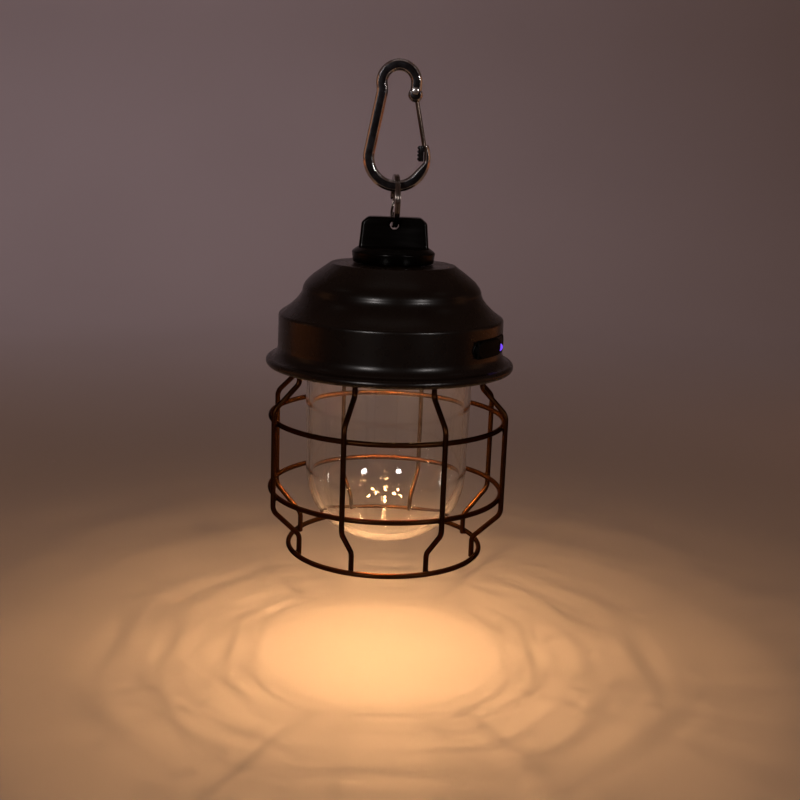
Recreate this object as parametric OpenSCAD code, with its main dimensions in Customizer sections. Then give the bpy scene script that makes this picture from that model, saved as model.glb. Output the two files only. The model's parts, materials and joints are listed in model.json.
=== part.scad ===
// Rechargeable hanging camping lantern with a wire cage, a clear globe,
// a rotary dimmer knob that carries a split ring, and a small carabiner.
// Millimetres. Z is up. The origin is the centre of the carabiner's upper bend,
// the point the whole lantern hangs from. The lamp's axis is the Z axis.
// Every lamp height below is measured from the widest level of the cap's brim.

/* [Hanging] */
// Height of the carabiner's upper bend above the brim level
hang_h = 101.3; // [101:0.1:102]
// Distance between the carabiner's two bend centres
bend_gap = 26.3; // [25.5:0.1:27]
// Centreline radius of the carabiner's upper bend
hook_r = 6.25; // [6:0.05:6.5]
// Centreline radius of the carabiner's lower bend
bow_r = 10.2; // [10:0.05:10.4]
// Width of the carabiner's body, seen from the front
body_w = 4.1; // [3.9:0.1:4.2]
// Thickness of the carabiner's body
body_t = 3.6; // [3.4:0.1:3.7]
// Inner radius of the split ring
ring_in = 7.7; // [7.6:0.05:7.8]
// Radial width of the split ring's wire
ring_w = 2.0; // [1.8:0.1:2.1]
// Length of the two coils of the split ring together
ring_t = 2.0; // [1.8:0.1:2.1]
// Turn of the split ring out of the square, as it hangs
ring_yaw = 6; // [4:1:7]

/* [Knob] */
// Radius of the knob's skirt
skirt_r = 15.4; // [15:0.1:16]
// Half width of the grip fin at its foot
fin_w = 12.9; // [12.4:0.1:13.2]
// Top of the grip fin above the brim level
fin_top = 53.7; // [53.4:0.1:54]
// Radius of the eye through the fin
eye_r = 1.6; // [1.6:0.05:1.7]

/* [Cap] */
// Height of the cap's flat top above the brim level
cap_h = 36.6; // [36.4:0.1:36.8]
// Radius of the cap's flat top
top_r = 23.4; // [23:0.1:24]
// Radius of the cap's cylindrical band
band_r = 42.1; // [42:0.1:42.3]
// Outer radius of the rolled brim
brim_r = 46.5; // [46.3:0.1:47]
// Thickness of the cap's sheet metal
sheet = 0.9; // [0.8:0.1:1]

/* [Globe] */
// Outer radius of the globe's straight wall
globe_r = 30.8; // [30.4:0.1:31]
// Wall thickness of the globe
globe_t = 2.2; // [2:0.1:2.6]
// Lowest point of the globe below the brim level
globe_low = 68.9; // [68:0.1:69.2]

/* [Cage] */
// Diameter of the cage wire
wire_d = 1.8; // [1.6:0.1:2]
// Radius of the cage's widest part, at the rib centrelines
cage_r = 46.0; // [45.8:0.1:46.4]
// Radius of the ribs where they leave the cap
cage_top_r = 36.4; // [36.2:0.1:36.6]
// Radius of the ribs at the foot of the cage
cage_foot_r = 35.4; // [35:0.1:35.6]
// Depth of the foot hoop's centre below the brim level
cage_low = 72.15; // [72:0.05:73]
// Number of ribs
rib_n = 8; // [8:1:8]

/* [Port] */
// Direction of the charging port, turned from the front
port_a = 58; // [50:1:70]
// Height of the port's centre above the brim level
port_z = 9.9; // [9.6:0.1:10.1]

/* [Hidden] */
$fn = 96;
eps = 0.01;
wr = wire_d / 2;
bev_r = body_w / 2 - 0.8;      // half width of the carabiner's flat faces
bev_y = 0.9;                   // half height of its flat sides
bow_z = -bend_gap;             // centre of the lower bend
bar_z = bow_z - bow_r;         // centre of the bar that the ring hangs on
ring_mid_r = ring_in + ring_w / 2;
ring_z = bar_z + body_w / 2 + 0.25 - ring_in;   // centre of the split ring
strand_z = ring_z - ring_mid_r;                 // centre of the strand in the eye
cell_r = 9.15;
cell_l = 65;
cell_z = 13.3;
cell_y = 9.2;
rib_a = 26.2;                  // first rib, turned from the front
hoop_r = cage_r - wire_d + 0.1;
hoop_foot_r = cage_foot_r + wire_d - 0.15;
rivet_x = 5.9;
rivet_z = -2.73;
gate_lean = 11.5;

// ---------- helpers ----------
function bez(p, q, r, s, t) = pow(1 - t, 3) * p + 3 * pow(1 - t, 2) * t * q + 3 * (1 - t) * t * t * r + pow(t, 3) * s;
function bezpts(p, q, r, s, n) = [for (i = [1 : n]) bez(p, q, r, s, i / n)];
function arcpts(c, r, a0, a1, n) = [for (i = [1 : n]) let (a = a0 + (a1 - a0) * i / n) c + r * [cos(a), sin(a)]];
function unit(v) = v / norm(v);
// a path moved sideways by d, to its right as it runs
function beside(p, d) = [for (i = [0 : len(p) - 1])
    let (a = p[max(0, i - 1)], b = p[min(len(p) - 1, i + 1)], u = unit(b - a)) p[i] + d * [u[1], -u[0]]];
function rev(p) = [for (i = [len(p) - 1 : -1 : 0]) p[i]];

module lamp() { translate([0, 0, -hang_h]) children(); }
// port frame: -Y points out of the port, X runs to its right
module port() { lamp() rotate([0, 0, port_a]) children(); }
module tube(ro, ri, z0, z1) {
    translate([0, 0, z0]) difference() {
        cylinder(r = ro, h = z1 - z0);
        translate([0, 0, -1]) cylinder(r = ri, h = z1 - z0 + 2);
    }
}
module disc(r, z0, z1) { translate([0, 0, z0]) cylinder(r = r, h = z1 - z0); }
module ycyl(r, x, z, y0, y1) { translate([x, y1, z]) rotate([90, 0, 0]) cylinder(r = r, h = y1 - y0); }
// upright slot shape: x half length hl to the ends, end radius r, from y0 to y1
module stadium(hl, r, y0, y1, x = 0, z = 0) {
    ycyl(r, x - hl + r, z, y0, y1);
    ycyl(r, x + hl - r, z, y0, y1);
    translate([x - hl + r, y0, z - r]) cube([2 * (hl - r), y1 - y0, 2 * r]);
}

// ---------- carabiner ----------
// bevelled section; k takes a hair off it all round, so that one length plugs into the next
module bar_shape(r, k = 0) {
    w = body_w / 2 - k;
    t = body_t / 2 - k;
    polygon([[r - w, -bev_y], [r - bev_r, -t], [r + bev_r, -t], [r + w, -bev_y],
        [r + w, bev_y], [r + bev_r, t], [r - bev_r, t], [r - w, bev_y]]);
}
hair = 0.02;
module bend(r, a0, a1, k = 0) { rotate([90, 0, 0]) rotate([0, 0, a0]) rotate_extrude(angle = a1 - a0) bar_shape(r, k); }
// straight bar between two points of the XZ plane
module bar(p, q, k = 0) {
    d = q - p;
    translate([p[0], 0, p[1]]) rotate([0, atan2(d[0], d[1]), 0]) linear_extrude(height = norm(d)) bar_shape(0, k);
}
// cutter that leaves a face with the body's own bevels: the face runs from p to q,
// and the body stays on the right of that line
module edge_cutter(p, q) {
    d = q - p;
    translate([p[0], 0, p[1]]) rotate([0, atan2(d[0], d[1]), 0]) linear_extrude(height = norm(d))
        polygon([[-7, -2.6], [(2.6 - bev_y) * 0.8 / 0.9, -2.6], [0, -bev_y], [0, bev_y], [(2.6 - bev_y) * 0.8 / 0.9, 2.6], [-7, 2.6]]);
}
spine_a = 10.8;                // lean of the spine
waist_r = 7;                   // radius of the waist under the upper bend
waist_b = 360 - acos(-(bow_r + waist_r - bend_gap * sin(spine_a)) / (hook_r + waist_r)) - spine_a;
waist_c = (hook_r + waist_r) * [cos(waist_b), sin(waist_b)];
spine_top = waist_c + waist_r * [cos(spine_a), -sin(spine_a)];
spine_foot = [0, bow_z] + bow_r * [-cos(spine_a), sin(spine_a)];
nose_t = [0, bow_z] + (bow_r - body_w / 2) * [cos(-44), sin(-44)];
nose_b = [9.9, bow_z - 1.3];

module carabiner_frame() color([0.16, 0.16, 0.18]) {
    difference() {
        union() {
            bend(hook_r, 0, waist_b);
            translate([waist_c[0], 0, waist_c[1]]) bend(waist_r, -spine_a - 1.3, waist_b - 180 + 1.3, hair);
            bar(spine_foot, spine_top);
            bar([hook_r - 0.3, -4.0], [hook_r, 0.15], hair);
            difference() {
                translate([0, 0, bow_z]) bend(bow_r, 180 - spine_a - 0.9, 382, hair);
                edge_cutter(nose_t, nose_b);
                edge_cutter(nose_b - [0, 0.6], nose_b + [0, 7]);
            }
            translate([5.95, 0, -4.0]) rotate([90, 0, 0]) rotate_extrude()
                polygon([[0, -body_t / 2], [1.8, -body_t / 2], [2.6, -bev_y], [2.6, bev_y], [1.8, body_t / 2], [0, body_t / 2]]);
        }
        // slot for the gate's hub
        translate([1.5, -0.85, -9]) cube([9, 1.7, 8.65]);
        // notch for the gate's rod in the nose
        translate([9.0, -0.95, bow_z + 1.7]) cube([2.1, 1.9, 6]);
        ycyl(0.82, rivet_x, rivet_z, -3, 3);
    }
}
module gate_rivet() color([0.72, 0.72, 0.74]) {
    translate([rivet_x, 0, rivet_z]) rotate([90, 0, 0]) rotate_extrude()
        polygon([[0, -2.1], [0.9, -2.1], [1.3, -1.95], [1.35, -1.8], [0.8, -1.8], [0.8, 1.8], [1.35, 1.8], [1.3, 1.95], [0.9, 2.1], [0, 2.1]]);
}
module gate_spring() color([0.6, 0.6, 0.62]) {
    // two close turns of torsion spring wire round the rivet
    translate([rivet_x, 0, rivet_z]) rotate([90, 0, 0]) rotate_extrude()
        polygon([[1.05, -0.62], [1.45, -0.62], [1.45, -0.4], [1.38, -0.37], [1.45, -0.34], [1.45, -0.12], [1.05, -0.12]]);
}
module carabiner_gate() color([0.5, 0.5, 0.52]) {
    translate([rivet_x, 0, rivet_z]) rotate([0, -gate_lean, 0]) difference() {
        union() {
            ycyl(1.9, 0, 0, -0.7, 0.7);
            translate([0, 0, -21.6]) cylinder(r = 0.7, h = 20.4);
        }
        ycyl(0.86, 0, 0, -2, 2);
        ycyl(1.6, 0, 0, 0, 2);
    }
}
module gate_catch() color([0.2, 0.2, 0.22]) difference() {
    translate([0, 0, bow_z - 1.1]) {
        linear_extrude(height = 5.6)
            polygon([[7.8, -1.0], [8.4, -1.7], [9.3, -1.7], [9.72, -1.3], [9.72, 1.3], [9.3, 1.7], [8.4, 1.7], [7.8, 1.0]]);
        for (i = [0 : 3]) translate([7.8, 0.95, 0.35 + 1.3 * i]) rotate([90, 0, 0]) linear_extrude(height = 1.9)
            polygon([[0.05, 0], [0.05, 1.1], [-0.5, 0.85], [-0.5, 0.25]]);
    }
    // groove that the rod is crimped into
    translate([rivet_x, 0, rivet_z]) rotate([0, -gate_lean, 0]) translate([0, 0, -22.5]) cylinder(r = 0.71, h = 22);
}

// ---------- split ring ----------
module coil(x0, x1, a0, a1) {
    c = 0.18;
    rotate([0, 90, 0]) rotate([0, 0, a0]) rotate_extrude(angle = a1 - a0)
        polygon([[ring_in, x0 + c], [ring_in + c, x0], [ring_in + ring_w - c, x0], [ring_in + ring_w, x0 + c],
            [ring_in + ring_w, x1 - c], [ring_in + ring_w - c, x1], [ring_in + c, x1], [ring_in, x1 - c]]);
}
module split_ring() color([0.75, 0.74, 0.72]) {
    translate([0, 0, ring_z]) rotate([0, 0, ring_yaw]) {
        // two turns of flat wire, joined where the wire steps from one to the other
        coil(-ring_t / 2, -0.04, 78, 78 + 352);
        coil(0.04, ring_t / 2, 64, 64 + 352);
        rotate([0, 90, 0]) rotate([0, 0, 79]) rotate_extrude(angle = 12)
            translate([ring_in + 0.3, -0.3]) square([ring_w - 0.6, 0.6]);
    }
}

// ---------- knob ----------
module eye_cut() {
    // straight eye; its upper side opens out to follow the ring's curve as the knob tilts
    ycyl(eye_r, 0, strand_z, -6, 6);
    intersection() {
        for (m = [0, 180]) rotate([0, 0, m]) translate([0, -1.0, strand_z]) rotate([90, 0, 0]) cylinder(r1 = 1.45, r2 = 3.1, h = 4);
        translate([-4, -6, strand_z - 0.5]) cube([8, 12, 4.65]);
    }
}
module knob() color([0.03, 0.03, 0.032]) lamp() {
    difference() {
        union() {
            rotate_extrude() polygon([[0, cap_h + 0.5], [skirt_r - 0.3, cap_h + 0.5], [skirt_r, cap_h + 0.8], [skirt_r, 40.9],
                [skirt_r - 0.3, 41.2], [fin_w, 42.7], [12.2, 42.9], [0, 42.9]]);
            intersection() {
                translate([0, 6, 0]) rotate([90, 0, 0]) linear_extrude(height = 12)
                    polygon([[-fin_w, 42], [fin_w, 42], [fin_w - 0.85, 51.6], [fin_w - 1.5, 52.5], [9.7, fin_top], [-9.7, fin_top],
                        [1.5 - fin_w, 52.5], [0.85 - fin_w, 51.6]]);
                translate([-20, 0, 0]) rotate([90, 0, 90]) linear_extrude(height = 40)
                    polygon([[-4.8, 42], [4.8, 42], [3.8, 51.6], [3.4, 52.7], [2.7, fin_top], [-2.7, fin_top], [-3.4, 52.7], [-3.8, 51.6]]);
            }
            disc(5.0, 28.3, cap_h + 1);
        }
        // recess over the bushing's flange
        tube(11.2, 5.0, cap_h - 1, 38.3);
        // groove for the circlip
        tube(6, 4.15, 28.85, 29.75);
        // D bore for the dimmer's shaft
        difference() {
            disc(3.04, 28, 35);
            translate([1.54, -4, 27]) cube([4, 8, 9]);
        }
        translate([0, 0, hang_h]) eye_cut();
    }
}
module knob_circlip() color([0.55, 0.56, 0.58]) lamp() difference() {
    tube(7.0, 4.2, 28.9, 29.65);
    translate([-2.2, 0, 28]) cube([4.4, 9, 3]);
}
module dimmer_shaft() color([0.7, 0.7, 0.72]) lamp() difference() {
    disc(3.0, 26.4, 34.6);
    translate([1.5, -4, 28.3]) cube([4, 8, 9]);
}

// ---------- cap ----------
cap_path = concat(
    [[7.1, cap_h], [top_r - 0.9, cap_h]],
    bezpts([top_r - 0.9, cap_h], [top_r - 0.4, cap_h], [top_r - 0.1, cap_h - 0.15], [top_r + 0.3, cap_h - 0.5], 3),
    bezpts([top_r + 0.3, cap_h - 0.5], [28.2, 32.8], [32.9, 30.0], [33.3, 26.6], 14),
    bezpts([33.3, 26.6], [33.55, 24.1], [37.3, 20.3], [band_r - 0.8, 17.9], 12),
    bezpts([band_r - 0.8, 17.9], [band_r - 0.35, 17.6], [band_r - 0.1, 17.2], [band_r - 0.1, 16.5], 4),
    [[band_r, 5.5]],
    bezpts([band_r, 5.5], [band_r + 0.1, 3.6], [brim_r - 3.1, 1.9], [brim_r - 1.6, 1.4], 8),
    arcpts([brim_r - 1.6, -0.2], 1.6, 90, -150, 14));
module cap_shell() color([0.17, 0.14, 0.12]) lamp() difference() {
    rotate_extrude($fn = 128) polygon(concat(cap_path, rev(beside(cap_path, sheet))));
    rotate([0, 0, port_a]) stadium(12.55, 2.95, -46, -34, 2.4, port_z);
}
module top_bushing() color([0.72, 0.66, 0.5]) lamp() difference() {
    union() {
        disc(10.5, cap_h, cap_h + 1.2);
        disc(7.0, 29.9, cap_h + 0.5);
    }
    disc(5.05, 29, 39);
}
module bushing_nut() color([0.72, 0.66, 0.5]) lamp() difference() {
    translate([0, 0, 30.4]) cylinder(r = 10.4, h = 3.2, $fn = 6);
    disc(7.04, 30, 35);
}
module knob_washer() color([0.9, 0.88, 0.82]) lamp() tube(10.0, 5.4, cap_h + 1.2, 38.25);

// ---------- chassis and electronics ----------
module legs() { for (x = [-9, 9]) for (y = [-21.5, 21.5]) translate([x, y, 0]) children(); }
module chassis() color([0.1, 0.1, 0.1]) port() difference() {
    union() {
        disc(21.6, 33.7, 35.65);
        intersection() {
            union() {
                legs() translate([-3, -2, 4.0]) cube([6, 4, 30.2]);
                // shelves that carry the control board
                for (x = [-9, 9]) for (y = [-1, 1]) translate([x - 3, y > 0 ? 15.6 : -19.6, 21.8]) cube([6, 4.0, 1.6]);
            }
            disc(24.3, 0, 36);
        }
    }
    disc(7.1, 30, 38);
    legs() disc(1.25, 3, 16);
    for (x = [-9, 9]) for (y = [-17.4, 17.4]) translate([x, y, 0]) disc(0.8, 20, 24);
}
module control_board() color([0.05, 0.25, 0.12]) port() difference() {
    translate([-25, -18.9, 23.4]) cube([50, 37.8, 1.2]);
    for (x = [-9, 9]) for (y = [-17.4, 17.4]) translate([x, y, 0]) disc(1.05, 23, 26);
}
module board_parts() color([0.08, 0.08, 0.09]) port() {
    translate([-22, -6, 24.6]) cube([7, 7, 3.0]);
    translate([12.5, -5, 24.6]) cube([5, 6, 1.6]);
    translate([14, 6, 24.6]) cylinder(r = 2.5, h = 5.5);
    translate([-19, 9, 24.6]) cylinder(r = 3.2, h = 1.8);
    translate([19.5, -8, 24.6]) cube([3.2, 2.5, 1.1]);
    translate([-12.5, -12, 24.6]) cube([2, 1.25, 0.6]);
}
module pan_screw(rh, hh, rs, ls) {
    // head above z = 0, shank below
    difference() {
        union() {
            rotate_extrude($fn = 48) polygon([[0, 0], [rh, 0], [rh, hh * 0.45], [rh * 0.8, hh * 0.85], [rh * 0.5, hh], [0, hh]]);
            translate([0, 0, -ls]) cylinder(r = rs, h = ls + eps, $fn = 48);
        }
        for (a = [0, 90]) rotate([0, 0, a]) translate([-rh * 0.6, -0.22 * rs - 0.06, hh * 0.45]) cube([rh * 1.2, 0.44 * rs + 0.12, hh]);
    }
}
module board_screws() color([0.6, 0.6, 0.62]) port()
    for (x = [-9, 9]) for (y = [-17.4, 17.4]) translate([x, y, 24.6]) pan_screw(1.5, 1.0, 0.78, 2.6);
module dimmer_body() color([0.2, 0.2, 0.22]) port() difference() {
    union() {
        disc(8.0, 24.6, 27.0);
        disc(4.6, 26.9, 28.1);
        translate([-3, -10.5, 24.6]) cube([6, 4, 1.6]);
    }
    disc(3.06, 26.3, 29);
}
module cells(r, l) {
    for (y = [-cell_y, cell_y]) translate([-l / 2, y, cell_z]) rotate([0, 90, 0]) cylinder(r = r, h = l);
}
module battery_tray() color([0.12, 0.12, 0.12]) port() difference() {
    union() {
        for (s = [-1, 1]) {
            translate([s > 0 ? 33.4 : -35.2, -12, 4.0]) cube([1.8, 24, 13.4]);
            translate([s > 0 ? 33.4 : -35.2, -19.2, 4.0]) cube([1.8, 38.4, 6]);
            translate([-33.5, s > 0 ? 15.5 : -19.2, 4.0]) cube([67, 3.7, 6]);
        }
        translate([-33.5, -2.6, 4.0]) cube([67, 5.2, 6]);
    }
    cells(cell_r + 0.1, 66.6);
    for (y = [-cell_y, cell_y]) for (s = [-1, 1]) translate([s * 34, y, cell_z]) rotate([0, 90, 0]) translate([0, 0, -1.5]) cylinder(r = 2.6, h = 3);
}
module cell(y, s) {
    translate([0, y, cell_z]) rotate([0, s * 90, 0]) rotate_extrude()
        polygon([[0, -cell_l / 2], [cell_r - 0.6, -cell_l / 2], [cell_r, -cell_l / 2 + 0.6], [cell_r, cell_l / 2 - 1.6],
            [cell_r - 0.5, cell_l / 2 - 1.0], [4, cell_l / 2 - 1.0], [3.6, cell_l / 2], [0, cell_l / 2]]);
}
module battery_cell_front() color([0.16, 0.35, 0.55]) port() cell(-cell_y, 1);
module battery_cell_rear() color([0.16, 0.35, 0.55]) port() cell(cell_y, -1);
module battery_tabs() color([0.75, 0.75, 0.72]) port() {
    for (s = [-1, 1]) translate([s > 0 ? 32.55 : -32.85, -12.2, 11.3]) cube([0.3, 24.4, 4]);
}
module usb_board() color([0.05, 0.25, 0.12]) port() difference() {
    translate([0, 0, 7.05]) linear_extrude(height = 1.2)
        polygon([[-8, -30.5], [-8, -38.6], [8.4, -38.6], [12.3, -37.3], [15.2, -35.8], [15.2, -30.5]]);
    for (x = [-6.5, 8]) translate([x, -32.5, 0]) disc(1.05, 6, 9);
    // notch for the light pipe
    translate([lens_x - 1.6, -40, 6]) cube([3.2, 2.9, 4]);
}
module usb_socket_shell() color([0.7, 0.7, 0.72]) port() difference() {
    stadium(4.47, 1.63, -41.0, -33.7, 0, port_z);
    stadium(4.17, 1.33, -41.5, -34.0, 0, port_z);
}
module usb_socket_tongue() color([0.05, 0.05, 0.05]) port() {
    translate([-3.35, -39.9, port_z - 0.35]) cube([6.7, 5.9, 0.7]);
    translate([-3.55, -35.2, port_z - 1.0]) cube([7.1, 1.12, 2.0]);
}
module usb_screws() color([0.6, 0.6, 0.62]) port()
    for (x = [-6.5, 8]) translate([x, -32.5, 8.25]) pan_screw(1.5, 1.0, 0.78, 3.2);
module port_bezel() color([0.03, 0.03, 0.03]) port() difference() {
    union() {
        intersection() {
            stadium(13.0, 3.4, -45, -38.0, 2.4, port_z);
            tube(42.5, band_r + 0.04, 0, 20);
        }
        intersection() {
            stadium(12.5, 2.9, -45, -36.0, 2.4, port_z);
            tube(42.4, 40.0, 0, 20);
        }
    }
    stadium(4.75, 1.9, -46, -34, 0, port_z);
    ycyl(1.45, lens_x, lens_z, -46, -34);
}
lens_x = 10.2;                 // indicator light, low on the right of the socket
lens_z = port_z - 1.2;
flap_hx = -9.0;
flap_hr = 43.0;
flap_hy = -sqrt(flap_hr * flap_hr - flap_hx * flap_hx);
module port_flap() color([0.04, 0.04, 0.04]) port() {
    intersection() {
        union() {
            stadium(8.1, 3.1, -46, -38, -1.2, port_z);
            translate([flap_hx, -46, port_z - 3.1]) cube([8, 8, 6.2]);
        }
        tube(43.35, 42.65, 0, 20);
    }
    translate([flap_hx, flap_hy, port_z - 3.1]) cylinder(r = 0.36, h = 6.2, $fn = 32);
    // tongue that seals the socket
    stadium(3.8, 0.95, -42.9, -40.7, 0, port_z);
}
module flap_anchor() color([0.04, 0.04, 0.04]) port() intersection() {
    stadium(12.4, 2.8, -46, -38, 2.4, port_z);
    tube(43.3, 42.55, 0, 20);
    translate([-12, -46, 0]) cube([12 + flap_hx - 0.56, 8, 20]);
}
module indicator_lens() color([0.45, 0.4, 0.95]) port() intersection() {
    ycyl(1.4, lens_x, lens_z, -44, -37.3);
    disc(42.6, 0, 20);
}
module indicator_led() color([0.9, 0.9, 0.85]) port() {
    translate([lens_x - 1.2, -37.0, 8.25]) cube([2.4, 1.4, 2.0]);
}

// ---------- base plate, light and globe ----------
module cage_screw_places() { for (i = [0 : 3]) rotate([0, 0, rib_a + 22.5 + 90 * i]) translate([0, -37.8, 0]) children(); }
module base_plate() color([0.08, 0.08, 0.08]) lamp() difference() {
    union() {
        disc(40.9, 2.2, 4.0);
        cage_screw_places() disc(2.9, -0.2, 2.3);
        rotate([0, 0, port_a]) for (x = [-6.5, 8]) translate([x, -32.5, 0]) disc(2.2, 3.9, 7.05);
    }
    cage_screw_places() disc(1.25, -1, 6);
    rotate([0, 0, port_a]) {
        legs() disc(1.6, 1, 6);
        for (x = [-6.5, 8]) translate([x, -32.5, 0]) disc(0.8, 4.6, 8);
        for (x = [-1.6, 1.6]) translate([x, 20.6, 0]) disc(1.2, 1, 6);
        for (x = [-15.5, 15.5]) translate([x, 0, 0]) disc(1.0, 1, 6);
    }
}
module chassis_screws() color([0.55, 0.55, 0.57]) port()
    legs() translate([0, 0, 2.2]) rotate([180, 0, 0]) pan_screw(2.6, 1.5, 1.22, 9);
module led_board() color([0.92, 0.92, 0.9]) port() difference() {
    disc(22.6, 0.7, 2.2);
    for (x = [-1.6, 1.6]) translate([x, 20.6, 0]) disc(0.58, 0, 3);
    for (x = [-15.5, 15.5]) translate([x, 0, 0]) disc(1.2, 0, 3);
    // clear of the chassis screws' heads
    legs() disc(2.95, 0, 3);
}
// six chips on an outer ring and four on an inner one
module chip_places() {
    for (i = [0 : 5]) rotate([0, 0, 60 * i + 90]) translate([18.5, 0, 0]) children();
    for (i = [0 : 3]) rotate([0, 0, 90 * i]) translate([9.8, 0, 0]) children();
}
module led_chips() color([1, 0.85, 0.45]) lamp()
    chip_places() translate([-1.75, -1.4, -0.1]) cube([3.5, 2.8, 0.8]);
module reflector_plate() color([0.95, 0.95, 0.93]) port() difference() {
    union() {
        disc(28.0, -1.4, -0.4);
        tube(28.0, 26.9, -3.2, -1.3);
        for (x = [-15.5, 15.5]) translate([x, 0, 0]) disc(2.6, -0.5, 0.7);
    }
    rotate([0, 0, -port_a]) chip_places()
        rotate_extrude() polygon([[0, -0.3], [2.5, -0.3], [2.5, -0.5], [3.4, -1.5], [0, -1.5]]);
    for (x = [-15.5, 15.5]) translate([x, 0, 0]) disc(1.2, -3, 3);
}
module led_screws() color([0.6, 0.6, 0.62]) port()
    for (x = [-15.5, 15.5]) translate([x, 0, -1.4]) rotate([180, 0, 0]) pan_screw(2.0, 1.2, 0.97, 5.2);
module lead(x) {
    // from the control board's edge, down beside the cells, into the light board
    r = 0.5;
    translate([x, 18.55, 25.1]) rotate([90, 0, 0]) cylinder(r = r, h = 1.65, $fn = 24);
    translate([x, 18.4, 22.9]) rotate([90, 0, 90]) rotate_extrude(angle = 90, $fn = 32) translate([2.2, 0]) circle(r = r + 0.012, $fn = 24);
    translate([x, 20.6, 0.9]) cylinder(r = r, h = 22.15, $fn = 24);
}
module lead_positive() color([0.7, 0.05, 0.05]) port() lead(1.6);
module lead_negative() color([0.05, 0.05, 0.05]) port() lead(-1.6);

globe_n = 20;
globe_z1 = -38.9;
globe_e = 2.4;
function bowl(r, b) = [for (i = [0 : globe_n]) let (t = 90 * i / globe_n)
    [i == globe_n ? 0 : r * pow(cos(t), 2 / globe_e), globe_z1 - b * pow(sin(t), 2 / globe_e)]];
module globe() color([0.9, 0.93, 0.95, 0.3]) lamp() rotate_extrude($fn = 128) polygon(concat(
    [[globe_r - globe_t + 0.5, 1.6], [34.0, 1.6], [34.0, -0.2], [globe_r + 0.7, -0.2], [globe_r + 0.5, -0.8]],
    bowl(globe_r, globe_low + globe_z1),
    rev(bowl(globe_r - globe_t, globe_low + globe_z1 - globe_t))));
module globe_gasket() color([0.75, 0.75, 0.72]) lamp() tube(33.6, 30.8, 1.6, 2.2);

// ---------- cage ----------
module cage_ring() color([0.12, 0.1, 0.09]) lamp() difference() {
    tube(40.4, 31.8, -1.7, -0.2);
    cage_screw_places() disc(1.6, -3, 1);
}
module cage_screws() color([0.1, 0.09, 0.08]) lamp()
    cage_screw_places() translate([0, 0, -1.7]) rotate([180, 0, 0]) pan_screw(2.5, 1.4, 1.22, 5.2);
module wire_arc(cx, cz, r, a0, a1) {
    translate([cx, 0, cz]) rotate([90, 0, 0]) rotate([0, 0, a0]) rotate_extrude(angle = a1 - a0) translate([r, 0]) circle(r = wr + 0.015, $fn = 32);
}
module wire_run(p, q) {
    // the straight runs a little way into the bends at its ends
    d = q - p;
    translate([p[0], 0, p[1]]) rotate([0, atan2(d[0], d[1]), 0]) translate([0, 0, -0.15]) cylinder(r = wr, h = norm(d) + 0.3, $fn = 32);
}
k45 = tan(22.5);
module rib() {
    b1 = 3; b2 = 5; b3 = 5; b4 = 4;
    s = sin(45);
    z1 = -6.8;
    z2 = z1 - (cage_r - cage_top_r);
    z3 = -54.4;
    z4 = z3 - (cage_r - cage_foot_r);
    wire_run([cage_top_r, z1 + b1 * k45], [cage_top_r, -1.15]);
    wire_arc(cage_top_r + b1, z1 + b1 * k45, b1, 180, 225);
    wire_run([cage_r - s * b2 * k45, z2 + s * b2 * k45], [cage_top_r + s * b1 * k45, z1 - s * b1 * k45]);
    wire_arc(cage_r - b2, z2 - b2 * k45, b2, 0, 45);
    wire_run([cage_r, z3 + b3 * k45], [cage_r, z2 - b2 * k45]);
    wire_arc(cage_r - b3, z3 + b3 * k45, b3, -45, 0);
    wire_run([cage_foot_r + s * b4 * k45, z4 + s * b4 * k45], [cage_r - s * b3 * k45, z3 - s * b3 * k45]);
    wire_arc(cage_foot_r + b4, z4 - b4 * k45, b4, 135, 180);
    wire_run([cage_foot_r, -cage_low - 0.15], [cage_foot_r, z4 - b4 * k45]);
}
module cage_ribs() color([0.12, 0.1, 0.09]) lamp()
    for (i = [0 : rib_n - 1]) rotate([0, 0, rib_a - 90 + 360 / rib_n * i]) rib();
module hoop(r, z) { lamp() translate([0, 0, z]) rotate_extrude($fn = 128) translate([r, 0]) circle(r = wr, $fn = 32); }
module cage_hoop_upper() color([0.12, 0.1, 0.09]) hoop(hoop_r, -21.5);
module cage_hoop_lower() color([0.12, 0.1, 0.09]) hoop(hoop_r, -49.5);
module cage_hoop_foot() color([0.12, 0.1, 0.09]) hoop(hoop_foot_r, -cage_low);

carabiner_frame();
gate_rivet();
gate_spring();
carabiner_gate();
gate_catch();
split_ring();
knob();
knob_circlip();
dimmer_shaft();
cap_shell();
top_bushing();
bushing_nut();
knob_washer();
chassis();
control_board();
board_parts();
board_screws();
dimmer_body();
battery_tray();
battery_cell_front();
battery_cell_rear();
battery_tabs();
usb_board();
usb_socket_shell();
usb_socket_tongue();
usb_screws();
port_bezel();
port_flap();
flap_anchor();
indicator_lens();
indicator_led();
base_plate();
chassis_screws();
led_board();
led_chips();
reflector_plate();
led_screws();
lead_positive();
lead_negative();
globe();
globe_gasket();
cage_ring();
cage_screws();
cage_ribs();
cage_hoop_upper();
cage_hoop_lower();
cage_hoop_foot();
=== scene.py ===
import bpy
import bmesh
import json
import math
import random
from mathutils import Matrix, Vector, noise


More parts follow.
